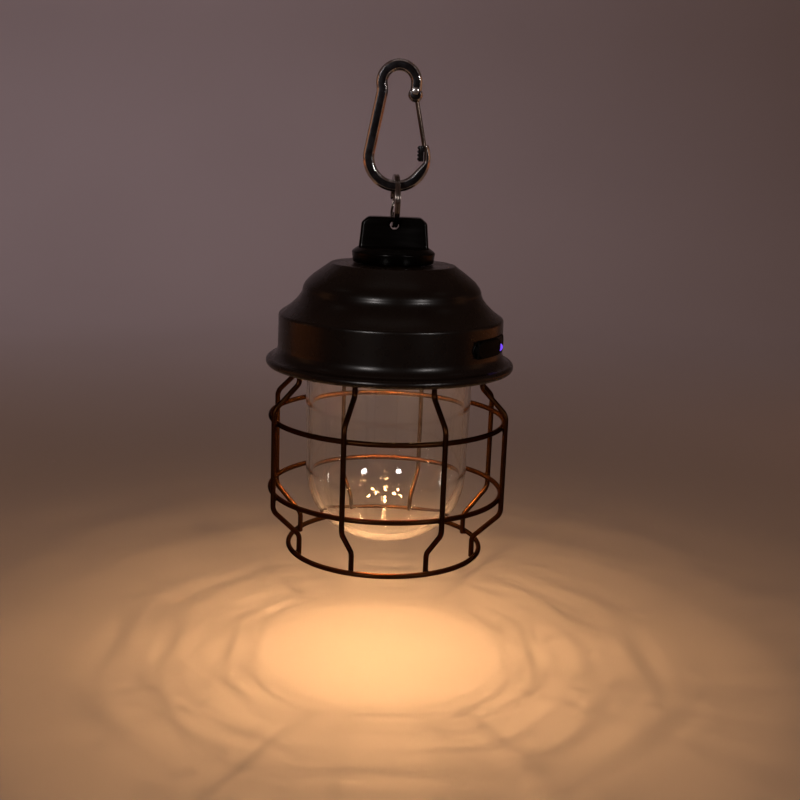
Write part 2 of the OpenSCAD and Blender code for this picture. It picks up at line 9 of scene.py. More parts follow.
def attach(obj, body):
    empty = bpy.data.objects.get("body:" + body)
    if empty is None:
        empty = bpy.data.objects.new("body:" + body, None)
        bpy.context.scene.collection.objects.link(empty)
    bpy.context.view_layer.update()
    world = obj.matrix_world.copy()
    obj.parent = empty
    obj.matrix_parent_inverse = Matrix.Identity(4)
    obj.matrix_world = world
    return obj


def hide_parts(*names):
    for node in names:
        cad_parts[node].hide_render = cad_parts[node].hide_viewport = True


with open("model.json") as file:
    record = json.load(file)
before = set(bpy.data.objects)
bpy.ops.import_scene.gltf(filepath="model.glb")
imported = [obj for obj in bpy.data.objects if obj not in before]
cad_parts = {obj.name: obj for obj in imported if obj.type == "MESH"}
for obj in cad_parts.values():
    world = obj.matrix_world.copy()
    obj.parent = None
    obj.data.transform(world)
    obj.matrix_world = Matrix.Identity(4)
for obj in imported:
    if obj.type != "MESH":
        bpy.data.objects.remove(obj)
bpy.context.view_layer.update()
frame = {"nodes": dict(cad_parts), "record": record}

NODES = frame["nodes"]
MM = 0.001
H0 = 101.3          # the lamp's own heights are measured from the brim; the row frame starts at the carabiner's upper bend
PORT = math.radians(58)
pi = math.pi
sin, cos, sqrt = math.sin, math.cos, math.sqrt


# ------------------------------------------------------------------ camera, first of all
def make_camera():
    yaw, pitch, roll, f = 0.0105, 0.2160, 0.0370, 1136.57
    cam = bpy.data.cameras.new("camera")
    cam.sensor_fit = "HORIZONTAL"
    cam.sensor_width = 36.0
    cam.lens = 36.0 * f / 800.0
    cam.clip_start, cam.clip_end = 0.01, 20
    o = bpy.data.objects.new("camera", cam)
    bpy.context.scene.collection.objects.link(o)
    fwd = Vector((sin(yaw) * cos(pitch), cos(yaw) * cos(pitch), -sin(pitch)))
    right = fwd.cross(Vector((0, 0, 1))).normalized()
    up = right.cross(fwd)
    r2 = right * cos(roll) + up * sin(roll)
    u2 = up * cos(roll) - right * sin(roll)
    m = Matrix(((r2.x, u2.x, -fwd.x, 0), (r2.y, u2.y, -fwd.y, -0.42264), (r2.z, u2.z, -fwd.z, 0.07758 - H0 * MM), (0, 0, 0, 1)))
    o.matrix_world = m
    bpy.context.scene.camera = o
    return o


make_camera()


# ------------------------------------------------------------------ materials
class Mat:
    """A procedural material on one Principled shader. Coordinates are metres in the row frame."""

    def __init__(self, name, **k):
        self.m = bpy.data.materials.new(name)
        self.m.use_nodes = True
        self.t = self.m.node_tree
        self.n, self.l = self.t.nodes, self.t.links
        self.b = self.n["Principled BSDF"]
        self.co = self.n.new("ShaderNodeTexCoord").outputs["Object"]
        self.last = None
        self.set(**k)

    def set(self, **k):
        for key, v in k.items():
            self.b.inputs[key.replace("_", " ")].default_value = v
        return self

    def to(self, key, out):
        self.l.new(out, self.b.inputs[key])
        return self

    def scaled(self, s, rot=(0, 0, 0), loc=(0, 0, 0)):
        n = self.n.new("ShaderNodeMapping")
        n.inputs["Scale"].default_value = s
        n.inputs["Rotation"].default_value = rot
        n.inputs["Location"].default_value = loc
        self.l.new(self.co, n.inputs["Vector"])
        return n.outputs["Vector"]

    def noise(self, scale, detail=3.0, rough=0.5, vec=None, dist=0.0):
        n = self.n.new("ShaderNodeTexNoise")
        n.inputs["Scale"].default_value = scale
        n.inputs["Detail"].default_value = detail
        n.inputs["Roughness"].default_value = rough
        n.inputs["Distortion"].default_value = dist
        self.l.new(vec or self.co, n.inputs["Vector"])
        return n.outputs["Fac"]

    def voronoi(self, scale, feature="F1", out="Distance", vec=None, rand=1.0):
        n = self.n.new("ShaderNodeTexVoronoi")
        n.feature = feature
        n.inputs["Scale"].default_value = scale
        n.inputs["Randomness"].default_value = rand
        self.l.new(vec or self.co, n.inputs["Vector"])
        return n.outputs[out]

    def ramp(self, fac, stops, interp="LINEAR"):
        n = self.n.new("ShaderNodeValToRGB")
        n.color_ramp.interpolation = interp
        e = n.color_ramp.elements
        while len(e) > 1:
            e.remove(e[-1])
        for i, (p, c) in enumerate(stops):
            x = e[0] if i == 0 else e.new(p)
            x.position = p
            x.color = (*c, 1) if len(c) == 3 else c
        self.l.new(fac, n.inputs["Fac"])
        return n.outputs["Color"]

    def remap(self, v, a, b, c, d):
        n = self.n.new("ShaderNodeMapRange")
        for i, x in zip(("From Min", "From Max", "To Min", "To Max"), (a, b, c, d)):
            n.inputs[i].default_value = x
        self.l.new(v, n.inputs["Value"])
        return n.outputs["Result"]

    def math(self, op, a, b=None):
        n = self.n.new("ShaderNodeMath")
        n.operation = op
        for i, v in enumerate((a, b)):
            if v is None:
                continue
            if isinstance(v, (int, float)):
                n.inputs[i].default_value = v
            else:
                self.l.new(v, n.inputs[i])
        return n.outputs[0]

    def axis(self, i):
        n = self.n.new("ShaderNodeSeparateXYZ")
        self.l.new(self.co, n.inputs[0])
        return n.outputs[i]

    def mix(self, fac, a, b):
        n = self.n.new("ShaderNodeMix")
        n.data_type = "RGBA"
        for key, v in ((6, a), (7, b)):
            if isinstance(v, tuple):
                n.inputs[key].default_value = (*v, 1) if len(v) == 3 else v
            else:
                self.l.new(v, n.inputs[key])
        if isinstance(fac, (int, float)):
            n.inputs[0].default_value = fac
        else:
            self.l.new(fac, n.inputs[0])
        return n.outputs[2]

    def bump(self, height, strength, distance):
        n = self.n.new("ShaderNodeBump")
        n.inputs["Strength"].default_value = strength
        n.inputs["Distance"].default_value = distance
        self.l.new(height, n.inputs["Height"])
        if self.last is not None:
            self.l.new(self.last, n.inputs["Normal"])
        self.last = n.outputs["Normal"]
        self.l.new(self.last, self.b.inputs["Normal"])
        return self


def build_materials():
    S = {}

    # satin bronze paint of the cap: low orange peel, cloudy tone, a few dust nibs
    m = Mat("cap_bronze_paint", Metallic=0.0, IOR=1.5)
    tone = m.noise(28, 4, 0.55)
    fine = m.noise(900, 2, 0.5)
    col = m.ramp(tone, [(0.30, (0.0108, 0.0076, 0.0052)), (0.70, (0.0152, 0.0107, 0.0076))])
    nib = m.remap(m.voronoi(420), 0.03, 0.07, 1, 0)
    m.to("Base Color", m.mix(m.math("MULTIPLY", nib, 0.4), col, (0.06, 0.045, 0.035)))
    m.to("Roughness", m.remap(m.noise(160, 3), 0.3, 0.7, 0.255, 0.30))
    m.set(Specular_IOR_Level=0.24)
    m.bump(m.noise(1400, 2, 0.5), 0.10, 0.00002)
    m.bump(m.noise(260, 2, 0.4), 0.08, 0.00005)
    S["cap_paint"] = m.m

    # black-bronze metallic paint on the cage wire: copper where the lamp shines on it, worn a little
    m = Mat("cage_black_paint", Metallic=0.9, IOR=1.5)
    tone = m.noise(120, 4, 0.6)
    col = m.ramp(tone, [(0.32, (0.023, 0.0082, 0.0027)), (0.70, (0.037, 0.0136, 0.0046))])
    worn = m.remap(m.noise(950, 4, 0.65), 0.66, 0.74, 0, 1)
    m.to("Base Color", m.mix(m.math("MULTIPLY", worn, 0.6), col, (0.115, 0.050, 0.021)))
    m.to("Roughness", m.remap(m.noise(420, 3), 0.3, 0.7, 0.30, 0.42))
    m.set(Specular_Tint=(0.20, 0.08, 0.03, 1), Specular_IOR_Level=0.12)
    m.bump(m.noise(1700, 3, 0.6), 0.18, 0.00003)
    m.bump(m.noise(350, 2, 0.5), 0.15, 0.00006)
    S["cage_paint"] = m.m
    S["screw_black"] = m.m

    # gloss black moulded knob, fine handling marks
    m = Mat("knob_gloss_black", IOR=1.5)
    col = m.ramp(m.noise(60, 3), [(0.3, (0.0032, 0.0030, 0.0029)), (0.7, (0.0052, 0.0048, 0.0045))])
    m.to("Base Color", col)
    scr = m.noise(500, 3, 0.6, vec=m.scaled((0.15, 1.0, 1.6), rot=(0.2, 0.3, 0.5)))
    m.to("Roughness", m.remap(scr, 0.35, 0.75, 0.19, 0.27))
    m.set(Specular_IOR_Level=0.075)
    m.bump(m.noise(700, 2, 0.5), 0.06, 0.00002)
    S["knob_black"] = m.m

    # clear glass with a little dust and a few seeds in it
    m = Mat("globe_clear_glass", IOR=1.48, Roughness=0.0)
    m.set(Base_Color=(0.985, 0.99, 0.985, 1))
    speck = m.remap(m.voronoi(330), 0.035, 0.05, 1, 0)
    speck2 = m.remap(m.voronoi(900), 0.04, 0.06, 1, 0)
    sparse = m.remap(m.noise(70, 2), 0.48, 0.60, 0, 1)
    mask = m.math("MAXIMUM", speck, m.math("MULTIPLY", speck2, sparse))
    film = m.remap(m.noise(55, 3, 0.6), 0.3, 0.75, 0.0005, 0.0030)
    m.to("Transmission Weight", m.math("SUBTRACT", 1.0, m.math("ADD", film, m.math("MULTIPLY", mask, 0.85))))
    m.bump(m.noise(24, 2, 0.4), 0.25, 0.00015)
    S["clear_glass"] = m.m

    # dark anodised carabiner body with drawn brushing
    # lighter, glossier metal for the bevels: a painted highlight along the carabiner's edges
    m = Mat("carabiner_bevel_painted_highlight", Metallic=1.0)
    scr = m.noise(1200, 3, 0.6)
    m.to("Base Color", m.ramp(scr, [(0.3, (0.44, 0.43, 0.43)), (0.7, (0.60, 0.59, 0.58))]))
    m.to("Roughness", m.remap(m.noise(600, 3), 0.3, 0.7, 0.12, 0.24))
    m.bump(scr, 0.06, 0.00001)
    S["edge_polished"] = m.m
    m = Mat("carabiner_gunmetal", Metallic=1.0)
    col = m.ramp(m.noise(150, 3), [(0.3, (0.026, 0.026, 0.029)), (0.7, (0.046, 0.046, 0.051))])
    scr = m.noise(900, 4, 0.7, vec=m.scaled((1.0, 0.1, 0.35), rot=(0, 0.2, 0)))
    m.to("Base Color", m.mix(m.remap(scr, 0.62, 0.72, 0, 0.35), col, (0.13, 0.13, 0.135)))
    m.to("Roughness", m.remap(m.noise(500, 3), 0.3, 0.7, 0.16, 0.27))
    m.bump(scr, 0.08, 0.00001)
    S["body_gunmetal"] = m.m

    def metal(name, a, b, rough, scale=600, stretch=(1, 1, 1), bump=0.08):
        m = Mat(name, Metallic=1.0)
        n = m.noise(scale, 4, 0.6, vec=m.scaled(stretch))
        m.to("Base Color", m.ramp(n, [(0.3, a), (0.7, b)]))
        m.to("Roughness", m.remap(m.noise(scale * 0.4, 3), 0.3, 0.7, rough[0], rough[1]))
        m.bump(n, bump, 0.00001)
        return m.m

    S["gate_metal"] = metal("gate_dark_nickel", (0.062, 0.046, 0.037), (0.115, 0.087, 0.070), (0.18, 0.30), 900, (1, 1, 0.08))
    S["ring_steel"] = metal("ring_nickel", (0.17, 0.150, 0.134), (0.31, 0.280, 0.255), (0.12, 0.22), 700, (2.5, 0.3, 0.3))
    S["rivet_steel"] = metal("rivet_bright", (0.34, 0.34, 0.34), (0.48, 0.47, 0.46), (0.16, 0.30))
    S["screw_steel"] = metal("screw_zinc", (0.42, 0.42, 0.43), (0.60, 0.60, 0.60), (0.25, 0.40))
    S["bushing_brass"] = metal("turned_brass_aged", (0.075, 0.055, 0.029), (0.13, 0.096, 0.050), (0.42, 0.58), 800, (0.2, 0.2, 3))
    S["socket_steel"] = metal("socket_plated", (0.50, 0.50, 0.50), (0.66, 0.66, 0.65), (0.22, 0.34))
    S["tab_nickel"] = metal("tab_nickel_strip", (0.60, 0.58, 0.54), (0.74, 0.72, 0.68), (0.25, 0.38))

    def plastic(name, a, b, rough, grain=1200, bump=0.15, **k):
        m = Mat(name, IOR=1.5, **k)
        m.to("Base Color", m.ramp(m.noise(90, 3), [(0.3, a), (0.7, b)]))
        m.to("Roughness", m.remap(m.noise(grain * 0.5, 3), 0.3, 0.7, rough[0], rough[1]))
        m.bump(m.noise(grain, 3, 0.6), bump, 0.00003)
        return m.m

    S["washer_plastic"] = plastic("washer_acetal", (0.66, 0.63, 0.56), (0.74, 0.71, 0.64), (0.35, 0.45))
    S["chassis_plastic"] = plastic("chassis_textured", (0.016, 0.016, 0.017), (0.026, 0.026, 0.027), (0.50, 0.65), 1600, 0.3)
    S["trim_plastic"] = plastic("port_trim_black", (0.0012, 0.0011, 0.0010), (0.0024, 0.0022, 0.0020), (0.42, 0.52), Specular_IOR_Level=0.08)
    S["flap_rubber"] = plastic("flap_silicone_black", (0.0010, 0.0009, 0.0008), (0.0022, 0.0020, 0.0018), (0.50, 0.62), 1900, 0.25, Specular_IOR_Level=0.055)
    S["parts_black"] = plastic("moulded_black", (0.015, 0.015, 0.016), (0.03, 0.03, 0.032), (0.40, 0.55))
    S["reflector_white"] = plastic("reflector_white_satin", (0.80, 0.80, 0.77), (0.86, 0.86, 0.83), (0.22, 0.32), 900, 0.05)
    S["gasket_silicone"] = plastic("gasket_silicone", (0.60, 0.59, 0.55), (0.70, 0.69, 0.65), (0.38, 0.5))
    S["led_body"] = plastic("led_body_clear", (0.78, 0.78, 0.74), (0.86, 0.86, 0.82), (0.15, 0.25))
    S["lead_red"] = plastic("lead_red_silicone", (0.42, 0.012, 0.012), (0.52, 0.02, 0.02), (0.4, 0.5))
    S["lead_black"] = plastic("lead_black_silicone", (0.012, 0.012, 0.012), (0.02, 0.02, 0.02), (0.4, 0.5))

    # green board: mask over copper tracks
    m = Mat("board_green_mask", IOR=1.5)
    tr = m.voronoi(260, "DISTANCE_TO_EDGE", vec=m.scaled((1, 1, 0.02), rot=(0, 0, PORT)), rand=0.35)
    track = m.remap(tr, 0.05, 0.09, 1, 0)
    m.to("Base Color", m.mix(track, (0.006, 0.075, 0.028), (0.03, 0.17, 0.06)))
    m.to("Roughness", m.remap(m.noise(300, 2), 0.3, 0.7, 0.24, 0.36))
    m.bump(track, 0.3, 0.00003)
    S["board_green"] = m.m
    m = Mat("board_white_mask", IOR=1.5)
    tr = m.voronoi(170, "DISTANCE_TO_EDGE", vec=m.scaled((1, 1, 0.02)), rand=0.3)
    m.to("Base Color", m.mix(m.remap(tr, 0.04, 0.07, 0.25, 0), (0.80, 0.80, 0.77), (0.62, 0.63, 0.60)))
    m.to("Roughness", m.remap(m.noise(300, 2), 0.3, 0.7, 0.3, 0.42))
    m.bump(m.remap(tr, 0.04, 0.07, 1, 0), 0.2, 0.00003)
    S["board_white"] = m.m

    # shrink sleeve on the cells: glossy, faint wrinkles, a seam
    m = Mat("cell_blue_sleeve", IOR=1.5)
    m.to("Base Color", m.ramp(m.noise(50, 3), [(0.3, (0.012, 0.075, 0.24)), (0.7, (0.018, 0.10, 0.31))]))
    m.to("Roughness", m.remap(m.noise(200, 3), 0.3, 0.7, 0.18, 0.30))
    m.bump(m.noise(180, 3, 0.6, vec=m.scaled((0.15, 1, 1), rot=(0, 0, -PORT))), 0.3, 0.0001)
    S["cell_sleeve"] = m.m

    # warm phosphor, lit
    m = Mat("phosphor_lit", IOR=1.5, Roughness=0.5)
    m.to("Base Color", m.ramp(m.noise(2500, 2), [(0.3, (0.90, 0.62, 0.16)), (0.7, (1.0, 0.74, 0.24))]))
    m.set(Emission_Color=(1.0, 0.525, 0.225, 1), Emission_Strength=LED_POWER)
    S["light_chip"] = m.m
    m = Mat("chip_ceramic", IOR=1.5)
    m.to("Base Color", m.ramp(m.noise(900, 2), [(0.3, (0.78, 0.77, 0.72)), (0.7, (0.86, 0.85, 0.80))]))
    m.to("Roughness", m.remap(m.noise(900, 2), 0.3, 0.7, 0.35, 0.5))
    S["chip_ceramic"] = m.m

    # blue-violet indicator, lit
    m = Mat("indicator_lit", IOR=1.49, Roughness=0.15)
    m.to("Base Color", m.ramp(m.noise(1500, 2), [(0.3, (0.20, 0.14, 0.70)), (0.7, (0.28, 0.20, 0.85))]))
    m.set(Emission_Color=(0.17, 0.06, 1.0, 1), Emission_Strength=1.0)
    S["lens_clear"] = m.m
    return S


LED_POWER = 1760.0
CHIPS = [(18.5, pi / 2 + pi / 3 * i) for i in range(6)] + [(9.8, pi / 2 * i) for i in range(4)]
S = build_materials()


# ------------------------------------------------------------------ mesh helpers, in millimetres
def piece(name, verts, faces, body, slot, replaces=(), mats=None, sharp=38, z0=0.0, recalc=True):
    me = bpy.data.meshes.new(name)
    me.from_pydata([(x * MM, y * MM, (z + z0) * MM) for x, y, z in verts], [], faces)
    bm = bmesh.new()
    bm.from_mesh(me)
    bmesh.ops.remove_doubles(bm, verts=bm.verts, dist=1e-7)
    if recalc:
        bmesh.ops.recalc_face_normals(bm, faces=bm.faces)
    bm.to_mesh(me)
    bm.free()
    o = bpy.data.objects.new(name, me)
    bpy.context.scene.collection.objects.link(o)
    for m in mats or [S[slot]]:
        me.materials.append(m)
    shade(o, sharp)
    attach(o, body)
    if replaces:
        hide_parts(*replaces)
    return o


def shade(o, sharp):
    o.data.shade_smooth()
    o.data.set_sharp_from_angle(angle=math.radians(sharp))


def baked(o, sharp=38):
    """Applies the object's modifiers to its mesh."""
    bpy.context.view_layer.update()
    dg = bpy.context.evaluated_depsgraph_get()
    me = bpy.data.meshes.new_from_object(o.evaluated_get(dg), depsgraph=dg)
    o.modifiers.clear()
    o.data = me
    shade(o, sharp)
    return o


def cut(o, verts, faces, op="DIFFERENCE", z0=0.0, sharp=38):
    me = bpy.data.meshes.new("cutter")
    me.from_pydata([(x * MM, y * MM, (z + z0) * MM) for x, y, z in verts], [], faces)
    bm = bmesh.new()
    bm.from_mesh(me)
    bmesh.ops.remove_doubles(bm, verts=bm.verts, dist=1e-7)
    bmesh.ops.recalc_face_normals(bm, faces=bm.faces)
    bm.to_mesh(me)
    bm.free()
    c = bpy.data.objects.new("cutter", me)
    bpy.context.scene.collection.objects.link(c)
    m = o.modifiers.new("cut", "BOOLEAN")
    m.operation, m.object, m.solver = op, c, "EXACT"
    baked(o, sharp)
    bpy.data.objects.remove(c)
    bm = bmesh.new()
    bm.from_mesh(o.data)
    bmesh.ops.dissolve_degenerate(bm, dist=2e-7, edges=bm.edges)
    bm.to_mesh(o.data)
    bm.free()
    shade(o, sharp)
    return o


def bevelled(o, width, segments=3, angle=35, sharp=38):
    m = o.modifiers.new("bevel", "BEVEL")
    m.width, m.segments, m.limit_method, m.angle_limit = width * MM, segments, "ANGLE", math.radians(angle)
    m.use_clamp_overlap = True
    return baked(o, sharp)


def lathe(profile, n=128, closed=False, a0=0.0):
    """Profile of (r, z) turned round Z. A point on the axis makes one vertex. closed joins the last point to the first."""
    verts, rows, faces = [], [], []
    for r, z in profile:
        if r < 1e-6:
            rows.append([len(verts)] * n)
            verts.append((0, 0, z))
        else:
            rows.append([len(verts) + i for i in range(n)])
            verts += [(r * cos(a0 + 2 * pi * i / n), r * sin(a0 + 2 * pi * i / n), z) for i in range(n)]
    k = len(rows)
    for j in range(k if closed else k - 1):
        a, b = rows[j], rows[(j + 1) % k]
        for i in range(n):
            q = [a[i], a[(i + 1) % n], b[(i + 1) % n], b[i]]
            f = [v for t, v in enumerate(q) if v not in q[:t]]
            if len(f) > 2:
                faces.append(f)
    return verts, faces


def loft(rings, closed=False, caps=True):
    m = len(rings[0])
    verts = [p for r in rings for p in r]
    faces = []
    k = len(rings)
    for j in range(k if closed else k - 1):
        a, b = j * m, ((j + 1) % k) * m
        for i in range(m):
            i2 = (i + 1) % m
            faces.append([a + i, a + i2, b + i2, b + i])
    if caps and not closed:
        faces.append(list(range(m))[::-1])
        faces.append([(k - 1) * m + i for i in range(m)])
    return verts, faces


def merged(parts):
    verts, faces = [], []
    for v, f in parts:
        n = len(verts)
        verts += v
        faces += [[i + n for i in g] for g in f]
    return verts, faces


def moved(vf, f):
    return [f(*p) for p in vf[0]], vf[1]


def rotz(a, p):
    return (p[0] * cos(a) - p[1] * sin(a), p[0] * sin(a) + p[1] * cos(a), p[2])


def roty(a, p):
    """Turn about +Y by the right-hand rule: Z goes towards X."""
    return (p[0] * cos(a) + p[2] * sin(a), p[1], -p[0] * sin(a) + p[2] * cos(a))


def ylathe(profile, n=64, closed=False, x=0, z=0, y=0):
    """Profile of (r, y) turned round the Y axis."""
    v, f = lathe(profile, n, closed)
    return [(p[0] + x, p[2] + y, p[1] + z) for p in v], f


def rounded(pts, rads, n=4):
    """A closed polygon with its corners rounded."""
    out = []
    k = len(pts)
    for i, p in enumerate(pts):
        p = Vector(p)
        a, b = Vector(pts[i - 1]), Vector(pts[(i + 1) % k])
        r = rads if isinstance(rads, (int, float)) else rads[i]
        u, v = (a - p), (b - p)
        lu, lv = u.length, v.length
        u, v = u / lu, v / lv
        ang = u.angle(v)
        if r <= 0 or ang > pi - 0.02:
            out.append(tuple(p))
            continue
        t = min(r / math.tan(ang / 2), lu * 0.49, lv * 0.49)
        r = t * math.tan(ang / 2)
        c = p + (u + v).normalized() * (r / sin(ang / 2))
        s, e = p + u * t - c, p + v * t - c
        a0 = math.atan2(s[1], s[0])
        d = math.atan2(s[0] * e[1] - s[1] * e[0], s.dot(e))
        for j in range(n + 1):
            w = a0 + d * j / n
            out.append((c[0] + r * cos(w), c[1] + r * sin(w)))
    return out


def arc(cx, cz, r, a0, a1, n):
    return [(cx + r * cos(a0 + (a1 - a0) * i / n), cz + r * sin(a0 + (a1 - a0) * i / n)) for i in range(n + 1)]


def bez(p, q, r, s, n, skip=1):
    out = []
    for i in range(skip, n + 1):
        t = i / n
        c = [(1 - t) ** 3, 3 * (1 - t) ** 2 * t, 3 * (1 - t) * t * t, t ** 3]
        out.append(tuple(sum(w * v[k] for w, v in zip(c, (p, q, r, s))) for k in (0, 1)))
    return out


def beside(path, d):
    """A path moved sideways by d, to its right as it runs."""
    out = []
    for i, p in enumerate(path):
        a, b = path[max(0, i - 1)], path[min(len(path) - 1, i + 1)]
        u = (Vector(b) - Vector(a)).normalized()
        out.append((p[0] + d * u[1], p[1] - d * u[0]))
    return out


def tube(path, r, n=16, closed=False, caps=True, round_ends=(False, False)):
    """Round tube along 3D points; r is a number or one per point."""
    P = [Vector(p) for p in path]
    k = len(P)
    R = [r] * k if isinstance(r, (int, float)) else list(r)
    T = []
    for i in range(k):
        a = P[i - 1] if (i > 0 or closed) else P[i]
        b = P[(i + 1) % k] if (i < k - 1 or closed) else P[i]
        T.append((b - a).normalized())
    ref = Vector((0, 0, 1)) if abs(T[0].z) < 0.9 else Vector((0, 1, 0))
    N = (ref - T[0] * ref.dot(T[0])).normalized()
    rings = []
    for i in range(k):
        N = (N - T[i] * N.dot(T[i])).normalized()
        B = T[i].cross(N)
        rings.append((P[i], T[i], N.copy(), B))
    out = []

    def ring(c, nn, bb, rr):
        return [tuple(c + nn * (rr * cos(2 * pi * j / n)) + bb * (rr * sin(2 * pi * j / n))) for j in range(n)]

    if round_ends[0] and not closed:
        c, t, nn, bb = rings[0]
        for q in (0.12, 0.35, 0.65):
            out.append(ring(c - t * (R[0] * 0.45 * (1 - sin(q * pi / 2))), nn, bb, R[0] * (0.55 + 0.45 * sin(q * pi / 2))))
    for i, (c, t, nn, bb) in enumerate(rings):
        out.append(ring(c, nn, bb, R[i]))
    if round_ends[1] and not closed:
        c, t, nn, bb = rings[-1]
        for q in (0.65, 0.35, 0.12):
            out.append(ring(c + t * (R[-1] * 0.45 * (1 - sin(q * pi / 2))), nn, bb, R[-1] * (0.55 + 0.45 * sin(q * pi / 2))))
    return loft(out, closed, caps)


def box(x0, x1, y0, y1, z0, z1):
    v = [(x, y, z) for x in (x0, x1) for y in (y0, y1) for z in (z0, z1)]
    return v, [[0, 1, 3, 2], [4, 6, 7, 5], [0, 4, 5, 1], [2, 3, 7, 6], [0, 2, 6, 4], [1, 5, 7, 3]]


def extruded_y(outline, y0, y1):
    k = len(outline)
    v = [(x, y0, z) for x, z in outline] + [(x, y1, z) for x, z in outline]
    f = [[i, (i + 1) % k, k + (i + 1) % k, k + i] for i in range(k)]
    return v, f + [list(range(k))[::-1], [k + i for i in range(k)]]


def lumpy(c, size, seed, amount=0.18, levels=3, rot=0.0):
    """A small weld bead: a squashed ball with an uneven skin."""
    bm = bmesh.new()
    bmesh.ops.create_icosphere(bm, subdivisions=levels, radius=1.0)
    out = []
    for v in bm.verts:
        d = v.co.normalized()
        k = 1 + amount * noise.noise(d * 1.7 + Vector((seed * 3.1, seed * 1.3, 0)))
        q = (d.x * size[0] * k, d.y * size[1] * k, d.z * size[2] * k)
        q = rotz(rot, q)
        out.append((q[0] + c[0], q[1] + c[1], q[2] + c[2]))
    faces = [[v.index for v in f.verts] for f in bm.faces]
    bm.free()
    return out, faces


# ------------------------------------------------------------------ cap
def build_cap():
    cap_h, top_r, band_r, brim_r, sheet = 36.6, 23.4, 42.1, 46.5, 0.9
    p = [(7.1, cap_h)]
    p += [(7.1 + (top_r - 0.9 - 7.1) * i / 8, cap_h) for i in range(1, 9)]
    p += bez((top_r - 0.9, cap_h), (top_r - 0.4, cap_h), (top_r - 0.1, cap_h - 0.15), (top_r + 0.3, cap_h - 0.5), 8)
    p += bez((top_r + 0.3, cap_h - 0.5), (28.2, 32.8), (32.9, 30.0), (33.3, 26.6), 40)
    p += bez((33.3, 26.6), (33.55, 24.1), (37.3, 20.3), (band_r - 0.8, 17.9), 36)
    p += bez((band_r - 0.8, 17.9), (band_r - 0.35, 17.6), (band_r - 0.1, 17.2), (band_r - 0.1, 16.5), 10)
    p += [(band_r - 0.1 + 0.1 * i / 10, 16.5 - 11.0 * i / 10) for i in range(1, 11)]
    p += bez((band_r, 5.5), (band_r + 0.1, 3.6), (brim_r - 3.1, 1.9), (brim_r - 1.6, 1.4), 20)
    p += arc(brim_r - 1.6, -0.2, 1.6, pi / 2, -150 * pi / 180, 28)[1:]
    q = beside(p, sheet)
    prof = p + q[::-1]
    vf = lathe(prof, 256, closed=True)
    o = piece("cap_pressing", *vf, "lamp", "cap_paint", replaces=["cap_shell"], z0=-H0, sharp=50)
    # slot for the port
    st = []
    for i in range(48):
        a = 2 * pi * i / 48
        x = (12.55 - 2.95) * (1 if cos(a) > 0 else -1) + 2.95 * cos(a) + 2.4
        st.append((x, 2.95 * sin(a) + 9.9))
    v, f = extruded_y(st, -46, -34)
    cut(o, [rotz(PORT, q) for q in v], f, z0=-H0, sharp=40)
    return o


build_cap()


